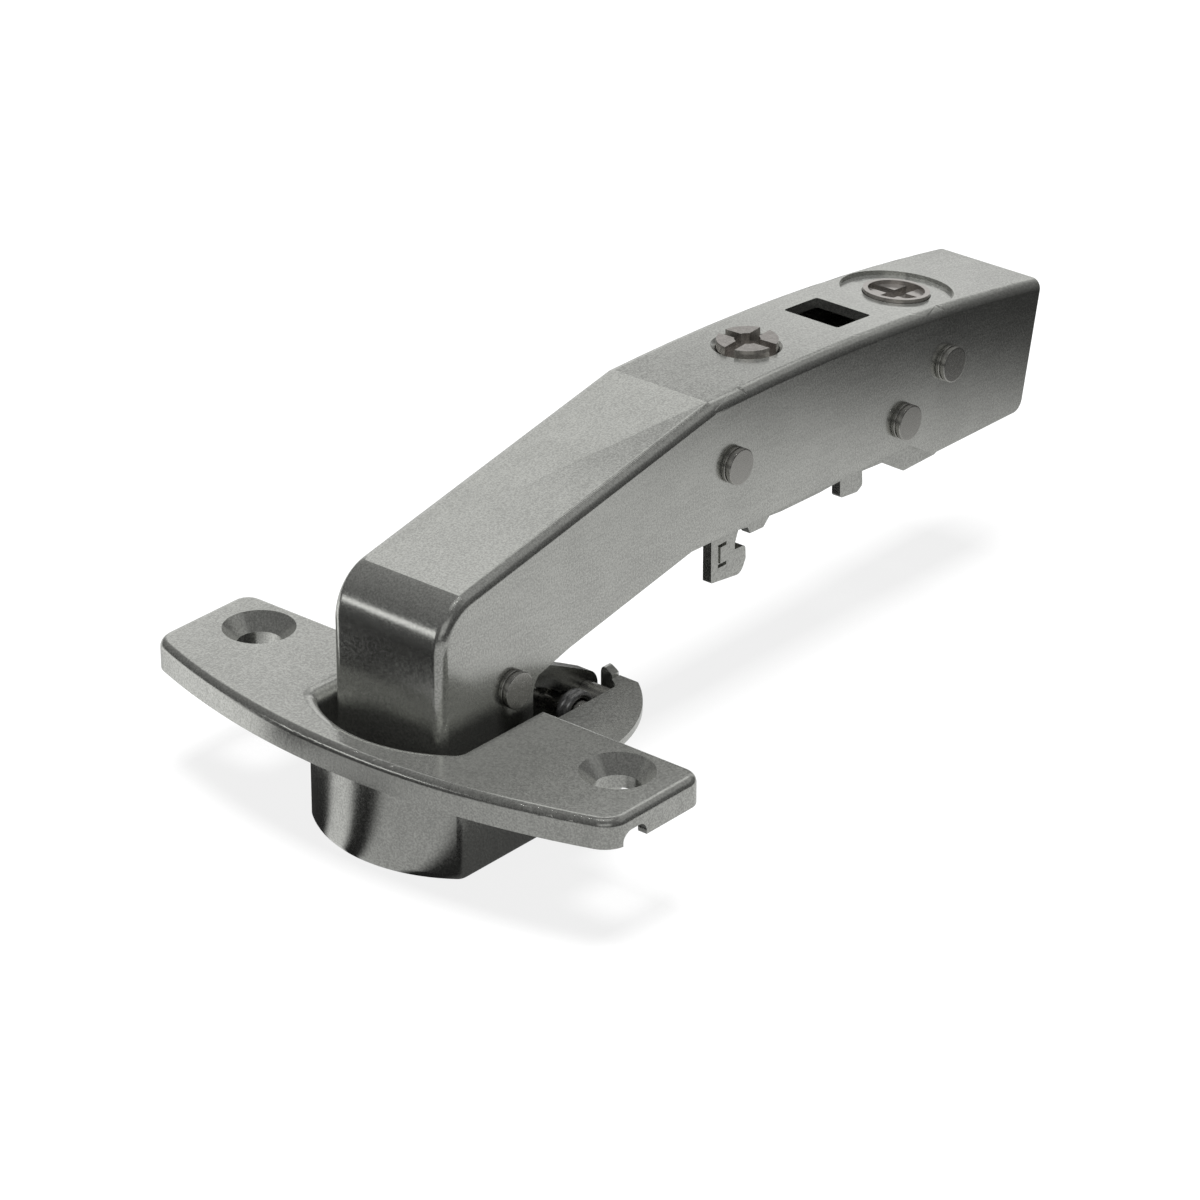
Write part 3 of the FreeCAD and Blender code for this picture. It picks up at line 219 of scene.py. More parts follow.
class Graph:
    """A node tree while it is being built."""

    def __init__(self, tree):
        self.tree = tree

    def add(self, kind, settings=None, values=None, output=0):
        """Add a node: its settings first, then its inputs' values or links. Gives one output."""
        node = self.tree.nodes.new(kind)
        for name, value in (settings or {}).items():
            if name == "stops":
                self.set_stops(node.color_ramp, value)
            else:
                setattr(node, name, value)
        for key, value in (values or {}).items():
            if isinstance(value, Term):
                self.tree.links.new(value.socket, node.inputs[key])
            else:
                node.inputs[key].default_value = value
        return Term(self, node.outputs[output])

    def set_stops(self, ramp, stops):
        """Give a ramp its stops, as places and grey levels."""
        while len(ramp.elements) < len(stops):
            ramp.elements.new(1)
        for element, (place, level) in zip(ramp.elements, stops):
            element.position = place
            element.color = (level, level, level, 1)

    def feed(self, term, node, key):
        """Link a term to an input of a node that is there already."""
        self.tree.links.new(term.socket, node.inputs[key])

    def vector(self, operation, first, second=None, output=0):
        """Vector maths on one or two vectors."""
        values = {0: first} if second is None else {0: first, 1: second}
        return self.add("ShaderNodeVectorMath", {"operation": operation}, values, output)

    def parts(self, vector):
        """The X, Y and Z of a vector."""
        first = self.add("ShaderNodeSeparateXYZ", {}, {0: vector})
        outputs = first.socket.node.outputs
        return [Term(self, outputs[index]) for index in range(3)]

    def blend(self, factor, dark, light):
        """A colour between two colours."""
        settings = {"data_type": "RGBA"}
        return self.add("ShaderNodeMix", settings, {0: factor, 6: dark, 7: light}, 2)

    def between(self, value, low, high, start=0.0, end=1.0):
        """A smooth step from start to end as a value goes from low to high."""
        values = {0: value, 1: low, 2: high, 3: start, 4: end}
        return self.add("ShaderNodeMapRange", {"interpolation_type": "SMOOTHSTEP"}, values)

    def window(self, value, low, high, soft):
        """One inside a range and nought outside it, with soft edges."""
        rise = self.between(value, low - soft, low + soft)
        return rise * self.between(value, high - soft, high + soft, 1.0, 0.0)

    def noise(self, place, size, detail=2.0):
        """Noise with features of a given size, from 0 to 1."""
        return self.add("ShaderNodeTexNoise", {}, {0: place, 2: 1 / size, 3: detail})


class HingeFinish(bpy.types.PropertyGroup):
    """Colours and textures of the metals and the plastic."""
    sheet_colour: bpy.props.FloatVectorProperty(
        name="Sheet nickel", description="Colour of the plated sheet metal",
        subtype="COLOR", size=3, default=(0.53, 0.535, 0.505), min=0, max=1)
    pin_colour: bpy.props.FloatVectorProperty(
        name="Pin nickel", description="Colour of the plated pins",
        subtype="COLOR", size=3, default=(0.42, 0.415, 0.39), min=0, max=1)
    cast_colour: bpy.props.FloatVectorProperty(
        name="Cast nickel", description="Colour of the plated screw and cam",
        subtype="COLOR", size=3, default=(0.48, 0.455, 0.43), min=0, max=1)
    wire_colour: bpy.props.FloatVectorProperty(
        name="Spring wire", description="Colour of the bright spring wire",
        subtype="COLOR", size=3, default=(0.40, 0.40, 0.40), min=0, max=1)
    plastic_colour: bpy.props.FloatVectorProperty(
        name="Damper plastic", description="Colour of the moulded damper",
        subtype="COLOR", size=3, default=(0.05, 0.053, 0.058), min=0, max=1)
    satin: bpy.props.FloatProperty(
        name="Satin", description="Roughness of the sheet metal's satin nickel",
        subtype="FACTOR", default=0.21, min=0, max=1)
    matt_share: bpy.props.FloatProperty(
        name="Matt share", description="Share of the plating's light that is scattered evenly",
        subtype="FACTOR", default=0.10, min=0, max=1)
    grain_size: bpy.props.FloatProperty(
        name="Grain size", description="Size of the finest speckle of the plating",
        unit="LENGTH", default=0.00022, min=0.00005, max=0.002)
    grain_depth: bpy.props.FloatProperty(
        name="Grain depth", description="Height of the speckle",
        unit="LENGTH", default=0.000006, min=0, max=0.0001)


class HingePieces(bpy.types.PropertyGroup):
    """Sizes of the pieces that are turned, wound or threaded."""
    round_sides: bpy.props.IntProperty(
        name="Sides", description="Sides of a turned piece", default=64, min=12, max=128)
    wire_sides: bpy.props.IntProperty(
        name="Wire sides", description="Sides of a round wire", default=16, min=6, max=32)
    long_edge: bpy.props.FloatProperty(
        name="Long edge", description="Radius of the arm's long folded edges",
        unit="LENGTH", default=0.0013, min=0.0002, max=0.005)
    pin_shaft: bpy.props.FloatProperty(
        name="Pin shaft", description="Radius of a riveted pin between its heads",
        unit="LENGTH", default=0.0014, min=0.0005, max=0.003)
    pin_edge: bpy.props.FloatProperty(
        name="Pin edge", description="Rounding of a plain pin's ends",
        unit="LENGTH", default=0.00015, min=0, max=0.0005)
    rivet_collar: bpy.props.FloatProperty(
        name="Rivet collar", description="Height of the thin collar under a rivet head",
        unit="LENGTH", default=0.00022, min=0, max=0.001)
    rivet_groove: bpy.props.FloatProperty(
        name="Rivet groove", description="Depth of the groove between collar and head",
        unit="LENGTH", default=0.0003, min=0, max=0.001)
    rivet_head: bpy.props.FloatProperty(
        name="Rivet head", description="Thickness of a rivet's round head",
        unit="LENGTH", default=0.00056, min=0, max=0.002)
    rivet_edge: bpy.props.FloatProperty(
        name="Rivet edge", description="Rounding of a rivet head's edge",
        unit="LENGTH", default=0.00012, min=0, max=0.0005)
    closing_wire: bpy.props.FloatProperty(
        name="Closing spring wire", description="Diameter of the closing springs' wire",
        unit="LENGTH", default=0.0009, min=0.0002, max=0.002)
    closing_turns: bpy.props.FloatProperty(
        name="Closing spring turns", description="Turns of each closing spring's coil",
        default=2.5, min=0.5, max=8)
    lever_wire: bpy.props.FloatProperty(
        name="Lever spring wire", description="Diameter of the lever spring's wire",
        unit="LENGTH", default=0.0006, min=0.0002, max=0.002)
    lever_turns: bpy.props.FloatProperty(
        name="Lever spring turns", description="Turns of the lever spring's coil",
        default=3.5, min=0.5, max=8)
    thread_core: bpy.props.FloatProperty(
        name="Thread core", description="Radius at which the overlay screw's thread is wound",
        unit="LENGTH", default=0.002, min=0.0005, max=0.004)
    thread_pitch: bpy.props.FloatProperty(
        name="Thread pitch", description="Pitch of the overlay screw's thread",
        unit="LENGTH", default=0.0007, min=0.0002, max=0.002)
    thread_depth: bpy.props.FloatProperty(
        name="Thread depth", description="Height of the thread above the shank",
        unit="LENGTH", default=0.00022, min=0, max=0.001)


class HingeStage(bpy.types.PropertyGroup):
    """Camera, floor and lights."""
    camera_place: bpy.props.FloatVectorProperty(
        name="Camera", description="Where the camera stands", subtype="TRANSLATION",
        unit="LENGTH", size=3, default=(0.3558, -0.3916, 0.2786))
    camera_back: bpy.props.FloatVectorProperty(
        name="View", description="Direction from the hinge back to the camera",
        subtype="DIRECTION", size=3, default=(0.5790, -0.6825, 0.4460))
    lens: bpy.props.FloatProperty(
        name="Lens", description="Focal length in millimetres", default=165.3, min=20, max=400)
    floor_size: bpy.props.FloatProperty(
        name="Floor", description="Width of the floor", unit="LENGTH", default=4.0, min=1, max=20)
    floor_colour: bpy.props.FloatVectorProperty(
        name="Floor colour", description="Colour of the floor where the camera sees it",
        subtype="COLOR", size=3, default=(0.82, 0.82, 0.82), min=0, max=1)
    key_power: bpy.props.FloatProperty(
        name="Key light", description="Power of the large soft lamp",
        subtype="POWER", default=25.0, min=0, max=100)
    room_level: bpy.props.FloatProperty(
        name="Room", description="Level of the studio between its light panels",
        default=0.008, min=0, max=1)


def finish_sizes():
    """The finish settings of this scene."""
    return bpy.context.scene.hinge_finish


def piece_sizes():
    """The piece settings of this scene."""
    return bpy.context.scene.hinge_pieces


def stage_sizes():
    """The stage settings of this scene."""
    return bpy.context.scene.hinge_stage


def in_scene(name, data):
    """A new object with its data, linked into the scene."""
    piece = bpy.data.objects.new(name, data)
    bpy.context.scene.collection.objects.link(piece)
    return piece


def middle(node):
    """The Y and Z of the middle of a CAD node."""
    low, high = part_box(node)
    return (low.y + high.y) / 2, (low.z + high.z) / 2


def frame_wall():
    """Half the arm's width."""
    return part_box("arm_shell")[1].x


def new_metal(name, colour, roughness):
    """A material with a bare metal shader: its graph, its shader node and the surface's place."""
    material = bpy.data.materials.new(name)
    material.use_nodes = True
    graph = Graph(material.node_tree)
    shader = material.node_tree.nodes["Principled BSDF"]
    shader.inputs["Base Color"].default_value = (*colour, 1)
    shader.inputs["Metallic"].default_value = 1.0 - finish_sizes().matt_share
    shader.inputs["Roughness"].default_value = roughness
    return material, graph, shader, graph.add("ShaderNodeTexCoord", output="Object")


def shade(colour, factor):
    """A colour made darker or lighter, with full alpha."""
    return (*(min(1.0, part * factor) for part in colour), 1)


def tint(graph, shader, colour, tone, dark, light):
    """Vary a shader's colour with a tone, between a darker and a lighter shade of it."""
    graph.feed(graph.blend(tone, shade(colour, dark), shade(colour, light)), shader, "Base Color")


def scatter(graph, shader, tone, roughness, spread):
    """Vary a shader's roughness with a tone, from a value upwards by a spread."""
    graph.feed(roughness + tone * spread, shader, "Roughness")


def emboss(graph, shader, height, strength, depth):
    """Give a shader bumps of a depth that follow a height."""
    values = {"Strength": strength, "Distance": depth, "Height": height}
    graph.feed(graph.add("ShaderNodeBump", {}, values), shader, "Normal")


def satin_nickel(name, colour, stretch=(1, 1, 1), rougher=0.0):
    """Satin nickel on rolled sheet: speckle, faint lines along the rolling, cloudy plating."""
    sizes = finish_sizes()
    satin = sizes.satin + rougher
    material, graph, shader, place = new_metal(name, colour, satin)
    speckle = graph.noise(place, sizes.grain_size, detail=2.0)
    drawn = graph.add("ShaderNodeMapping", {"vector_type": "POINT"}, {0: place, 3: stretch})
    lines = graph.noise(drawn, 2.5 * sizes.grain_size, detail=3.0)
    clouds = graph.noise(place, 40 * sizes.grain_size, detail=2.0)
    tone = graph.between(speckle * 0.7 + lines * 0.15 + clouds * 0.15, low=0.34, high=0.66)
    tint(graph, shader, colour, tone, dark=0.79, light=1.20)
    scatter(graph, shader, tone, roughness=satin - 0.03, spread=0.06)
    emboss(graph, shader, speckle * 0.7 + lines * 0.3, strength=0.35, depth=sizes.grain_depth)
    return material


def turned_nickel(node):
    """Nickel on a turned pin along X: fine rings about the pin's centre line."""
    sizes = finish_sizes()
    colour = tuple(sizes.pin_colour)
    material, graph, shader, place = new_metal("turned nickel, " + node, colour, sizes.satin)
    offset = graph.vector("SUBTRACT", place, (0, *middle(node)))
    across = graph.vector("MULTIPLY", offset, (0, 1, 1))
    reach = graph.vector("LENGTH", across, output="Value")
    rings = (reach * (2 * math.pi / sizes.grain_size)).math("SINE")
    speckle = graph.noise(place, sizes.grain_size, detail=2.0)
    tone = graph.between(speckle * 0.8 + rings * 0.06, low=0.25, high=0.6)
    tint(graph, shader, colour, tone, dark=0.88, light=1.12)
    scatter(graph, shader, tone, roughness=sizes.satin, spread=0.07)
    emboss(graph, shader, speckle + rings * 0.03, strength=0.3, depth=sizes.grain_depth)
    return material


def cast_nickel(name):
    """Nickel on a small casting: a slightly wavy skin with fine pits."""
    sizes = finish_sizes()
    colour = tuple(sizes.cast_colour)
    material, graph, shader, place = new_metal(name, colour, sizes.satin)
    skin = graph.noise(place, 3 * sizes.grain_size, detail=2.0)
    speckle = graph.noise(place, sizes.grain_size, detail=2.0)
    tone = graph.between(skin * 0.5 + speckle * 0.5, low=0.32, high=0.66)
    tint(graph, shader, colour, tone, dark=0.86, light=1.12)
    scatter(graph, shader, tone, roughness=sizes.satin - 0.04, spread=0.08)
    emboss(graph, shader, skin + speckle * 0.4, strength=0.4, depth=2 * sizes.grain_depth)
    return material


def bright_wire(name):
    """Hard-drawn spring wire: bright, with faint streaks."""
    sizes = finish_sizes()
    colour = tuple(sizes.wire_colour)
    material, graph, shader, place = new_metal(name, colour, sizes.satin)
    streaks = graph.noise(place, 1.5 * sizes.grain_size, detail=4.0)
    tone = graph.between(streaks, low=0.35, high=0.65)
    tint(graph, shader, colour, tone, dark=0.8, light=1.15)
    scatter(graph, shader, tone, roughness=sizes.satin - 0.06, spread=0.1)
    return material


def moulded_plastic(name):
    """Matt moulded plastic with a fine spark-eroded texture."""
    sizes = finish_sizes()
    colour = tuple(sizes.plastic_colour)
    material, graph, shader, place = new_metal(name, colour, roughness=0.5)
    shader.inputs["Metallic"].default_value = 0.0
    texture = graph.noise(place, 0.8 * sizes.grain_size, detail=3.0)
    tone = graph.between(texture, low=0.3, high=0.7)
    tint(graph, shader, colour, tone, dark=0.8, light=1.25)
    scatter(graph, shader, tone, roughness=0.45, spread=0.12)
    emboss(graph, shader, texture, strength=0.5, depth=3 * sizes.grain_depth)
    return material


def give(material, *nodes):
    """Give CAD nodes a material."""
    for node in nodes:
        for slot in frame["nodes"][node].material_slots:
            slot.material = material


def evaluated_mesh(piece):
    """The mesh of an object with its modifiers, as a mesh of its own."""
    depsgraph = bpy.context.evaluated_depsgraph_get()
    return bpy.data.meshes.new_from_object(piece.evaluated_get(depsgraph))


def rounded_normal(x, lean, half_width, radius):
    """The normal at X on a folded channel's outside, from the lean of its back in Y and Z."""
    part = min(max((abs(x) - half_width + radius) / radius, 0), 1)
    across = math.sqrt(1 - part * part)
    return Vector((math.copysign(part, x), lean.y * across, lean.z * across))


def crown_lean(place):
    """The outward direction, in Y and Z, of the arm's crowned back at a place."""
    return Vector((0, place.y - CROWN_Y, place.z - CROWN_TOP + CROWN_RADIUS)).normalized()


def lean_of(face):
    """A face's normal without its X part."""
    return Vector((0, face.normal.y, face.normal.z))


def on_crown(face):
    """Whether a face belongs to the crowned back or its long edges."""
    lean = lean_of(face)
    match = lean.normalized().dot(crown_lean(face.center))
    return lean.length > LEAST_LEAN and match > CROWN_MATCH


def follow_long_edges(mesh, half_width, radius):
    """Give the arm's back, sides and long edges their exact normals."""
    leans = [Vector() for _ in mesh.vertices]
    for face in mesh.polygons:
        lean = lean_of(face)
        if lean.length < LEAST_LEAN or on_crown(face):
            continue
        own = rounded_normal(face.center.x, lean.normalized(), half_width, radius)
        if own.dot(face.normal) > CLOSE_MATCH:
            for index in face.vertices:
                leans[index] += lean * face.area
    normals = [corner.vector.copy() for corner in mesh.corner_normals]
    for face in mesh.polygons:
        crowned = on_crown(face)
        for corner in face.loop_indices:
            vertex = mesh.vertices[mesh.loops[corner].vertex_index]
            lean = crown_lean(vertex.co) if crowned else leans[vertex.index].normalized()
            exact = rounded_normal(vertex.co.x, lean, half_width, radius)
            if lean.length > 0 and exact.dot(face.normal) > FAIR_MATCH:
                normals[corner] = exact
    mesh.normals_split_custom_set(normals)


def on_flange_edge(place, top, radius):
    """Whether a place lies on the flange's rounded rim or on the flat within it."""
    at_bowl = (place.xy - BOWL_CENTRE).length <= RIM_REACH
    at_hole = math.hypot(abs(place.x) - SCREW_HOLE_X, place.y) < SCREW_HOLE_REACH
    high_enough = abs(place.z - top + radius / 2) < radius / 2 + SEAM
    return high_enough and not at_bowl and not at_hole


def follow_flange_edge(mesh, top, radius):
    """Give the flange's rounded rim the tilt that belongs to each height."""
    normals = [corner.vector.copy() for corner in mesh.corner_normals]
    for face in mesh.polygons:
        for corner in face.loop_indices:
            place = mesh.vertices[mesh.loops[corner].vertex_index].co
            if not on_flange_edge(place, top, radius):
                continue
            rise = min(1.0, max(0.0, (place.z - top + radius) / radius))
            outward = Vector((normals[corner].x, normals[corner].y, 0))
            exact = Z_AXIS
            if rise < 1 and outward.length > 0:
                exact = outward.normalized() * math.sqrt(1 - rise * rise) + Z_AXIS * rise
            if exact.dot(face.normal) > FAIR_MATCH:
                normals[corner] = exact
    mesh.normals_split_custom_set(normals)


def smooth_skin(node, material):
    """A CAD node's shape with normals that stay flat right up to each rounded edge."""
    source = frame["nodes"][node]
    mesh = source.data.copy()
    mesh.attributes.remove(mesh.attributes["custom_normal"])
    piece = in_scene(node + "_skin", mesh)
    weld = piece.modifiers.new("Weld", "WELD")
    weld.merge_threshold = SEAM
    piece.data = evaluated_mesh(piece)
    piece.modifiers.remove(weld)
    piece.data.shade_smooth()
    piece.data.set_sharp_from_angle(angle=SKIN_SHARP)
    weigh = piece.modifiers.new("Weigh", "WEIGHTED_NORMAL")
    weigh.keep_sharp = True
    weigh.weight = SKIN_WEIGHT
    piece.data = evaluated_mesh(piece)
    piece.modifiers.remove(weigh)
    piece.data.materials.clear()
    piece.data.materials.append(material)
    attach(piece, source["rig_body"])
    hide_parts(node)
    return piece


def new_tree(name, inputs):
    """An empty Geometry Nodes tree with named inputs, as (name, kind, default)."""
    tree = bpy.data.node_groups.new(name, "GeometryNodeTree")
    tree.interface.new_socket(name="Geometry", in_out="INPUT", socket_type="NodeSocketGeometry")
    for label, kind, default in inputs:
        socket = tree.interface.new_socket(name=label, in_out="INPUT", socket_type=kind)
        if default is not None:
            socket.default_value = default
    tree.interface.new_socket(name="Geometry", in_out="OUTPUT", socket_type="NodeSocketGeometry")
    graph = Graph(tree)
    source = tree.nodes.new("NodeGroupInput")
    given = {socket.name: Term(graph, socket) for socket in source.outputs if socket.name}
    return tree, graph, given


def close_tree(tree, graph, mesh, given, sharp):
    """Shade smooth up to an angle, realize, give the material and end the tree."""
    smooth = graph.add("GeometryNodeSetShadeSmooth", {"domain": "FACE"}, {0: mesh, 2: True})
    bent = graph.add("GeometryNodeInputMeshEdgeAngle") > sharp
    values = {0: smooth, 1: bent, 2: False}
    creased = graph.add("GeometryNodeSetShadeSmooth", {"domain": "EDGE"}, values)
    real = graph.add("GeometryNodeRealizeInstances", {}, {0: creased})
    painted = graph.add("GeometryNodeSetMaterial", {}, {0: real, 2: given["Material"]})
    end = tree.nodes.new("NodeGroupOutput")
    graph.feed(painted, end, "Geometry")
    return tree


def turning_tree():
    """A turned piece: a line whose points carry the radius is given its round section."""
    inputs = [("Sides", "NodeSocketInt", 64), ("Material", "NodeSocketMaterial", None)]
    tree, graph, given = new_tree("Turned on a line", inputs)
    values = {"Resolution": given["Sides"], "Radius": 1.0}
    ring = graph.add("GeometryNodeCurvePrimitiveCircle", {}, values)
    radius = graph.add("GeometryNodeInputRadius")
    values = {"Curve": given["Geometry"], "Profile Curve": ring, "Scale": radius,
              "Fill Caps": True}
    body = graph.add("GeometryNodeCurveToMesh", {}, values)
    return close_tree(tree, graph, body, given, TURNED_SHARP)


def wire_tree():
    """A round wire along a path."""
    inputs = [("Diameter", "NodeSocketFloat", 0.001), ("Sides", "NodeSocketInt", 16),
              ("Material", "NodeSocketMaterial", None)]
    tree, graph, given = new_tree("Wire on a path", inputs)
    values = {"Resolution": given["Sides"], "Radius": given["Diameter"] * 0.5}
    ring = graph.add("GeometryNodeCurvePrimitiveCircle", {}, values)
    values = {"Curve": given["Geometry"], "Profile Curve": ring, "Fill Caps": True}
    body = graph.add("GeometryNodeCurveToMesh", {}, values)
    return close_tree(tree, graph, body, given, WOUND_SHARP)


def thread_tree():
    """A screw thread: one ridge wound round a shank."""
    inputs = [("Core radius", "NodeSocketFloat", 0.002), ("Pitch", "NodeSocketFloat", 0.0007),
              ("Depth", "NodeSocketFloat", 0.0002), ("Length", "NodeSocketFloat", 0.004),
              ("Start", "NodeSocketVector", (0, 0, 0)), ("Material", "NodeSocketMaterial", None)]
    tree, graph, given = new_tree("Wound thread", inputs)
    turns = given["Length"] / given["Pitch"]
    values = {"Resolution": THREAD_STEPS, "Rotations": turns, "Start Radius": given["Core radius"],
              "End Radius": given["Core radius"], "Height": given["Length"]}
    winding = graph.add("GeometryNodeCurveSpiral", {}, values)
    values = {"Resolution": THREAD_SIDES, "Radius": given["Depth"]}
    ring = graph.add("GeometryNodeCurvePrimitiveCircle", {}, values)
    values = {"Curve": winding, "Profile Curve": ring, "Fill Caps": True}
    ridge = graph.add("GeometryNodeCurveToMesh", {}, values)
    placed = graph.add("GeometryNodeTransform", {}, {0: ridge, 1: given["Start"]})
    return close_tree(tree, graph, placed, given, WOUND_SHARP)


def line_object(name, points, radii=None):
    """A curve object of one open run through points, with a radius at each point."""
    curve = bpy.data.curves.new(name, "CURVE")
    curve.dimensions = "3D"
    run = curve.splines.new("POLY")
    run.points.add(len(points) - 1)
    for index, point in enumerate(points):
        run.points[index].co = (*point, 1)
        run.points[index].radius = radii[index] if radii else 1.0
    return in_scene(name, curve)


def grown(name, base, tree, values):
    """Run a tree on a base object and keep its result as a plain mesh piece."""
    modifier = base.modifiers.new("Grow", "NODES")
    modifier.node_group = tree
    for item in tree.interface.items_tree:
        if item.in_out == "INPUT" and item.name in values:
            modifier[item.identifier] = values[item.name]
    mesh = evaluated_mesh(base)
    bpy.data.objects.remove(base)
    mesh.name = name
    return in_scene(name, mesh)


def mirrored_profile(stations):
    """A profile of (place, radius) on the right, mirrored to the left."""
    left = [(-place, radius) for place, radius in reversed(stations) if place > 0]
    return left + stations


def turned_pin(node, stations, material):
    """A pin along X made from its profile, which stands for a CAD node."""
    profile = mirrored_profile(stations)
    points = [(place, *middle(node)) for place, _ in profile]
    base = line_object(node + "_line", points, [radius for _, radius in profile])
    values = {"Sides": piece_sizes().round_sides, "Material": material}
    piece = grown(node + "_turned", base, shared_tree("Turned on a line", turning_tree), values)
    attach(piece, frame["nodes"][node]["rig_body"])
    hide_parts(node)
    return piece


def shared_tree(name, make):
    """The tree of that name, made the first time that it is asked for."""
    return bpy.data.node_groups.get(name) or make()


def round_edge(place, radius, size, outwards):
    """Stations of a rounded edge at the end of a turned face."""
    stations = []
    for step in range(EDGE_STEPS + 1):
        angle = math.pi / 2 * step / EDGE_STEPS
        if outwards:
            stations.append((place - size + size * math.sin(angle),
                             radius - size + size * math.cos(angle)))
        else:
            stations.append((place + size - size * math.cos(angle),
                             radius - size + size * math.sin(angle)))
    return stations


def rivet_stations(node):
    """The profile of a pin with a riveted head on each side."""
    sizes = piece_sizes()
    low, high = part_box(node)
    radius = (high.z - low.z) / 2
    edge = sizes.rivet_edge
    wall = frame_wall()
    collar = wall + sizes.rivet_collar
    head = high.x - sizes.rivet_head
    neck = radius - sizes.rivet_groove
    stations = [
        (0, sizes.pin_shaft), (wall - 2 * STEP_LENGTH, sizes.pin_shaft),
        (wall, radius - edge / 2), (wall + edge / 2, radius),
        (collar - edge / 2, radius), (collar, radius - edge / 2),
        (collar + STEP_LENGTH, neck), (head - STEP_LENGTH, neck)]
    return stations + round_edge(head, radius, edge, False) + flat_face(high.x, radius, edge)


def flat_face(end, radius, edge):
    """Stations of a rounded edge and of the rim of the flat face beside it."""
    return round_edge(end - SLIVER, radius, edge, True) + [(end, radius - 1.5 * edge)]


def plain_stations(node):
    """The profile of a plain pin with rounded ends."""
    low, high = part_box(node)
    radius = (high.z - low.z) / 2
    return [(0, radius)] + flat_face(high.x, radius, piece_sizes().pin_edge)


def helix(centre, mean_radius, start_x, end_x, turns, start_angle):
    """Points of a coil about a line along X, from one X to another."""
    steps = int(turns * COIL_STEPS)
    points = []
    for step in range(steps + 1):
        part = step / steps
        angle = start_angle + 2 * math.pi * turns * part
        points.append(Vector((start_x + (end_x - start_x) * part,
                              centre[0] + mean_radius * math.cos(angle),
                              centre[1] + mean_radius * math.sin(angle))))
    return points


def rounded_run(corners, radius):
    """A run through corners, with an arc in place of each corner between the two ends."""
    points = [corners[0]]
    for before, here, after in zip(corners, corners[1:], corners[2:]):
        back = (before - here).normalized()
        ahead = (after - here).normalized()
        start = here + back * radius
        end = here + ahead * radius
        for step in range(BEND_STEPS + 1):
            part = step / BEND_STEPS
            points.append(start.lerp(here, part).lerp(here.lerp(end, part), part))
    return points + [corners[-1]]


def coiled_wire(name, node, points, diameter, material):
    """A spring wound from one wire, which stands for a CAD node."""
    base = line_object(name + "_line", points)
    values = {"Diameter": diameter, "Sides": piece_sizes().wire_sides, "Material": material}
    piece = grown(name, base, shared_tree("Wire on a path", wire_tree), values)
    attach(piece, frame["nodes"][node]["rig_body"])
    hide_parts(node)
    return piece


def closing_path(side):
    """The closing spring's wire: a foot on the floor, the coil and a leg under the link's eye."""
    sizes = piece_sizes()
    wire = sizes.closing_wire
    bend = BEND_IN_WIRES * wire
    low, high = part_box("closing_spring_right")
    pin_y, pin_z = middle("cup_pin_inner")
    mean = high.z - pin_z - wire / 2
    outer_x = high.x - wire / 2
    inner_x = outer_x - 2 * (wire + COIL_GAP)
    floor = low.z + wire / 2
    eye_y = high.y - wire / 2
    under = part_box("cup_pin_outer")[0].z - LEG_DROP
    front = pin_y - mean
    rear = pin_y + mean
    foot = [Vector((outer_x, low.y, floor)), Vector((outer_x, front, floor)),
            Vector((outer_x, front, pin_z))]
    leg = [Vector((inner_x, rear, pin_z)), Vector((inner_x, rear, under)),
           Vector((inner_x, eye_y, under)), Vector((low.x, eye_y, under))]
    coil = helix((pin_y, pin_z), mean, outer_x, inner_x, sizes.closing_turns, math.pi)
    points = rounded_run(foot, bend)[:-1] + coil + rounded_run(leg, bend)[1:]
    return [Vector((side * point.x, point.y, point.z)) for point in points]


def lever_path():
    """The lever spring's wire: the coil on the pin and a leg up to the carrier's roof."""
    sizes = piece_sizes()
    wire = sizes.lever_wire
    low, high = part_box("lever_spring")
    pin_y, pin_z = middle("lever_pin")
    mean = high.y - pin_y - wire / 2
    start_x = low.x + wire / 2
    end_x = high.x - wire / 2
    top = pin_z + mean
    coil = helix((pin_y, pin_z), mean, start_x, end_x, sizes.lever_turns, -math.pi / 2)
    leg = [Vector((end_x, pin_y, top)), Vector((end_x, low.y + wire / 2, top)),
           Vector((end_x, low.y + wire / 2, high.z))]
    return coil + rounded_run(leg, BEND_IN_WIRES * wire)[1:]


class HINGE_OT_sheet_metal(bpy.types.Operator):
    """Finish the pressed cup, the folded arm and the stamped pieces"""
    bl_idname = "hinge.sheet_metal"
    bl_label = "Finish the sheet metal"

    def execute(self, context):
        colour = tuple(finish_sizes().sheet_colour)
        cup = smooth_skin("cup",
                          satin_nickel("satin nickel, cup", colour, (1, 1, 0.15)))
        follow_flange_edge(cup.data, FLANGE_TOP, FLANGE_ROUND)
        arm = smooth_skin("arm_shell",
                          satin_nickel("satin nickel, arm", colour, (1, 0.15, 1)))
        follow_long_edges(arm.data, frame_wall(), piece_sizes().long_edge)
        darker = tuple(shade(colour, 0.92)[:3])
        stamped = satin_nickel("satin nickel, stampings", darker, (1, 0.3, 1), 0.03)
        give(stamped, "outer_link", "inner_link", "overlay_frame", "clip_carrier", "release_lever")
        return {"FINISHED"}


class HINGE_OT_castings(bpy.types.Operator):
    """Finish the overlay screw and the depth cam"""
    bl_idname = "hinge.castings"
    bl_label = "Finish the screw and the cam"

    def execute(self, context):
        give(cast_nickel("cast nickel"), "overlay_screw", "depth_cam")
        return {"FINISHED"}


class HINGE_OT_riveted_pins(bpy.types.Operator):
    """Turn the four pins with riveted heads"""
    bl_idname = "hinge.riveted_pins"
    bl_label = "Turn the riveted pins"

    def execute(self, context):
        for node in ("link_pin_outer", "front_cross_pin", "middle_cross_pin", "rear_cross_pin"):
            turned_pin(node, rivet_stations(node), turned_nickel(node))
        return {"FINISHED"}


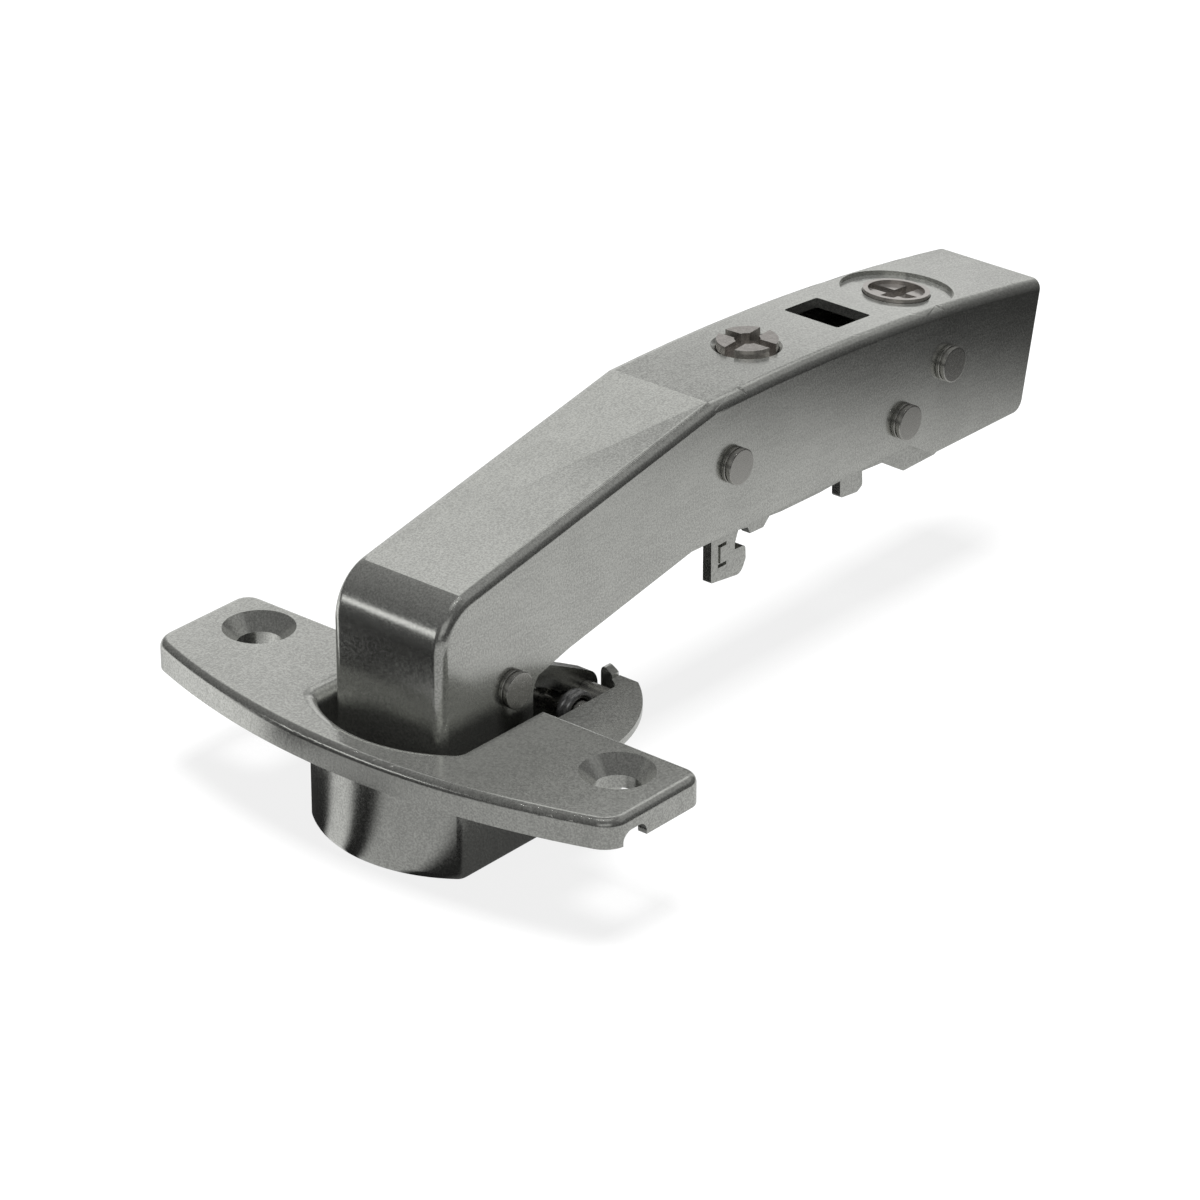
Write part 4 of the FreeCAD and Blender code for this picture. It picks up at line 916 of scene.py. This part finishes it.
class HINGE_OT_plain_pins(bpy.types.Operator):
    """Turn the plain pins of the cup, the frame and the lever, and finish the inner link pin"""
    bl_idname = "hinge.plain_pins"
    bl_label = "Turn the plain pins"

    def execute(self, context):
        for node in ("cup_pin_outer", "cup_pin_inner", "guide_pin", "lever_pin"):
            turned_pin(node, plain_stations(node), turned_nickel(node))
        give(turned_nickel("link_pin_inner"), "link_pin_inner")
        return {"FINISHED"}


class HINGE_OT_springs(bpy.types.Operator):
    """Wind the closing springs and the lever spring"""
    bl_idname = "hinge.springs"
    bl_label = "Wind the springs"

    def execute(self, context):
        wire = bright_wire("bright spring wire")
        sizes = piece_sizes()
        for side, hand in ((1, "right"), (-1, "left")):
            node = "closing_spring_" + hand
            coiled_wire(node + "_wound", node, closing_path(side), sizes.closing_wire, wire)
        coiled_wire("lever_spring_wound", "lever_spring", lever_path(), sizes.lever_wire, wire)
        return {"FINISHED"}


class HINGE_OT_thread(bpy.types.Operator):
    """Cut the overlay screw's thread"""
    bl_idname = "hinge.thread"
    bl_label = "Cut the screw's thread"

    def execute(self, context):
        sizes = piece_sizes()
        low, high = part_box("overlay_screw")
        start = Vector(((low.x + high.x) / 2, (low.y + high.y) / 2, low.z + sizes.thread_depth))
        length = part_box("overlay_frame")[1].z + THREAD_RISE - start.z
        base = line_object("thread_line", [(0, 0, 0), (0, 0, MM)])
        values = {"Core radius": sizes.thread_core, "Pitch": sizes.thread_pitch,
                  "Depth": sizes.thread_depth, "Length": length, "Start": start,
                  "Material": cast_nickel("cast nickel, thread")}
        piece = grown("overlay_thread", base, shared_tree("Wound thread", thread_tree), values)
        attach(piece, "overlay_screw")
        return {"FINISHED"}


class HINGE_OT_damper(bpy.types.Operator):
    """Finish the damper's housing and plunger"""
    bl_idname = "hinge.damper"
    bl_label = "Finish the damper"

    def execute(self, context):
        give(moulded_plastic("moulded plastic"), "damper_housing", "damper_plunger")
        return {"FINISHED"}


def between_angles(graph, angle, limits, soft):
    """One between two angles and nought outside them, with soft edges, all in degrees."""
    low, high = limits
    return graph.window(angle, math.radians(low), math.radians(high), math.radians(soft))


def angles_of(graph, direction):
    """Azimuth from +X, from 0 to a full turn, and elevation of a direction."""
    x, y, z = graph.parts(direction)
    turn = y.math("ARCTAN2", x)
    azimuth = turn + (turn < 0.0) * (2 * math.pi)
    flat = (x * x + y * y).math("SQRT")
    return azimuth, z.math("ARCTAN2", flat)


def studio_walls():
    """The world: a dim room with soft light panels, white where the camera sees it."""
    world = bpy.data.worlds.new("Studio")
    bpy.context.scene.world = world
    world.use_nodes = True
    graph = Graph(world.node_tree)
    direction = graph.add("ShaderNodeTexCoord", output="Generated")
    azimuth, elevation = angles_of(graph, direction)
    level = stage_sizes().room_level
    for strength, azimuths, elevations, soft in PANELS:
        wide = between_angles(graph, azimuth, azimuths, soft)
        high = between_angles(graph, elevation, elevations, soft / 2)
        level = level + wide * high * strength
    camera_ray = graph.add("ShaderNodeLightPath", output="Is Camera Ray")
    radiance = camera_ray + (1 - camera_ray) * level
    background = world.node_tree.nodes["Background"]
    graph.feed(radiance, background, "Strength")
    background.inputs["Color"].default_value = WHITE


def azimuth_ramp(graph, azimuth, stops):
    """A level that changes with azimuth, from stops in degrees."""
    places = [(degrees / 360, level) for degrees, level in stops]
    return graph.add("ShaderNodeValToRGB", {"stops": places}, {0: azimuth / (2 * math.pi)})


def painted_floor_reflection(graph):
    """How bright metal sees the floor: a painted reflection, darkened by a painted flag and
    painted shade.
    """
    place = graph.add("ShaderNodeTexCoord", output="Object")
    offset = graph.vector("SUBTRACT", place, FLOOR_MIDDLE)
    azimuth, _ = angles_of(graph, offset)
    x, y, _ = graph.parts(offset)
    reach = (x * x + y * y).math("SQRT")
    # Painted reflection levels by azimuth: painted highlights and shadow near the cup, and farther
    # out.
    near = azimuth_ramp(graph, azimuth, NEAR_PAINTED_REFLECTION)
    far = azimuth_ramp(graph, azimuth, FAR_PAINTED_REFLECTION)
    outside = graph.between(reach, *NEAR_ENDS)
    # Painted shade: a dark flag in front, the arm's shade and all beyond the hinge darken the
    # painted reflection.
    front = between_angles(graph, azimuth, PAINTED_FLAG_AZIMUTHS, PAINTED_FLAG_SOFT)
    painted_flag_shade = front * graph.between(reach, *PAINTED_FLAG_STARTS)
    across = graph.window(x, *UNDER_ARM_X, UNDER_ARM_SOFT)
    painted_arm_shade = across * graph.window(y, *UNDER_ARM_Y, UNDER_ARM_SOFT)
    painted_far_shade = graph.between(x * BEYOND_WAY[0] + y * BEYOND_WAY[1], *BEYOND_STARTS)
    dark = 1 - (1 - painted_flag_shade) * (1 - painted_arm_shade) * (1 - painted_far_shade)
    return (near * (1 - outside) + far * outside) * (1 - dark * SHADE_DEPTH)


def floor_material():
    """A pale floor, white to the camera. Metal sees it glow with a painted reflection of dark and
    light parts.
    """
    material = bpy.data.materials.new("pale floor")
    material.use_nodes = True
    graph = Graph(material.node_tree)
    nodes = material.node_tree.nodes
    nodes.remove(nodes["Principled BSDF"])
    painted_reflection = painted_floor_reflection(graph)
    glossy = graph.add("ShaderNodeLightPath", output="Is Glossy Ray")
    camera_ray = graph.add("ShaderNodeLightPath", output="Is Camera Ray")
    pale = graph.blend(camera_ray, FLOOR_TO_LIGHT, (*stage_sizes().floor_colour, 1))
    matt = graph.add("ShaderNodeBsdfDiffuse", {}, {"Color": pale})
    shown = graph.add("ShaderNodeEmission", {}, {"Color": WHITE, "Strength": 1.0})
    # Glossy rays see the floor glow with the painted reflection instead of its lit colour.
    painted_reflection_glow = graph.add("ShaderNodeEmission", {}, {"Color": painted_reflection, "Strength": 1.0})
    share = camera_ray * FLOOR_WHITE_SHARE
    lit = graph.add("ShaderNodeMixShader", {}, {0: share, 1: matt, 2: shown})
    mixed = graph.add("ShaderNodeMixShader", {}, {0: glossy, 1: lit, 2: painted_reflection_glow})
    graph.feed(mixed, nodes["Material Output"], "Surface")
    return material


def make_floor():
    """The floor under the cup."""
    half = stage_sizes().floor_size / 2
    height = cad_box[0].z - FLOOR_GAP
    ways = ((-half, -half), (half, -half), (half, half), (-half, half))
    mesh = bpy.data.meshes.new("floor")
    mesh.from_pydata([(x, y, height) for x, y in ways], [], [(0, 1, 2, 3)])
    mesh.materials.append(floor_material())
    floor = in_scene("floor", mesh)


def make_lamp():
    """The large soft lamp above the hinge, which metal doesn't mirror."""
    data = bpy.data.lights.new("key light", "AREA")
    data.shape = "SQUARE"
    data.size = LAMP_SIZE
    data.energy = stage_sizes().key_power
    lamp = in_scene("key light", data)
    lamp.location = LAMP_PLACE
    lamp.rotation_mode = "QUATERNION"
    lamp.rotation_quaternion = (LAMP_AIM - LAMP_PLACE).to_track_quat("-Z", "Y")
    lamp.visible_glossy = False


def make_camera():
    """The camera at the photograph's angle."""
    sizes = stage_sizes()
    data = bpy.data.cameras.new("camera")
    data.lens = sizes.lens
    data.sensor_width = SENSOR_WIDTH
    data.clip_start = CLIP_START
    back = Vector(sizes.camera_back).normalized()
    right = Z_AXIS.cross(back).normalized()
    upright = back.cross(right)
    camera = in_scene("camera", data)
    turn = Matrix((right, upright, back)).transposed().to_4x4()
    camera.matrix_world = Matrix.Translation(Vector(sizes.camera_place)) @ turn
    bpy.context.scene.camera = camera


class HINGE_OT_studio(bpy.types.Operator):
    """Set the floor, the lights and the camera"""
    bl_idname = "hinge.studio"
    bl_label = "Set the studio"

    def execute(self, context):
        make_floor()
        studio_walls()
        make_lamp()
        make_camera()
        context.scene.view_settings.view_transform = "Standard"
        return {"FINISHED"}


class HINGE_PT_sidebar(bpy.types.Panel):
    """The hinge's settings and steps in the sidebar"""
    bl_idname = "HINGE_PT_sidebar"
    bl_label = "Concealed hinge"
    bl_space_type = "VIEW_3D"
    bl_region_type = "UI"
    bl_category = "Hinge"

    def draw(self, context):
        for group in (finish_sizes(), piece_sizes(), stage_sizes()):
            box = self.layout.box()
            for name in group.__annotations__:
                box.prop(group, name)
        for operator in OPERATORS:
            self.layout.operator(operator.bl_idname)


GROUPS = (
    ("hinge_finish", HingeFinish),
    ("hinge_pieces", HingePieces),
    ("hinge_stage", HingeStage),
)
OPERATORS = (
    HINGE_OT_studio,
    HINGE_OT_sheet_metal,
    HINGE_OT_castings,
    HINGE_OT_riveted_pins,
    HINGE_OT_plain_pins,
    HINGE_OT_springs,
    HINGE_OT_thread,
    HINGE_OT_damper,
)


def register():
    """Register the settings, the operators and the panel."""
    for name, group in GROUPS:
        bpy.utils.register_class(group)
        setattr(bpy.types.Scene, name, bpy.props.PointerProperty(type=group))
    for item in OPERATORS + (HINGE_PT_sidebar,):
        bpy.utils.register_class(item)


def unregister():
    """Take back what register did."""
    for item in reversed(OPERATORS + (HINGE_PT_sidebar,)):
        bpy.utils.unregister_class(item)
    for name, group in reversed(GROUPS):
        delattr(bpy.types.Scene, name)
        bpy.utils.unregister_class(group)


def main():
    """Build everything."""
    register()
    bpy.ops.hinge.studio()
    bpy.ops.hinge.sheet_metal()
    bpy.ops.hinge.castings()
    bpy.ops.hinge.riveted_pins()
    bpy.ops.hinge.plain_pins()
    bpy.ops.hinge.springs()
    bpy.ops.hinge.thread()
    bpy.ops.hinge.damper()


if __name__ == "__main__":
    main()
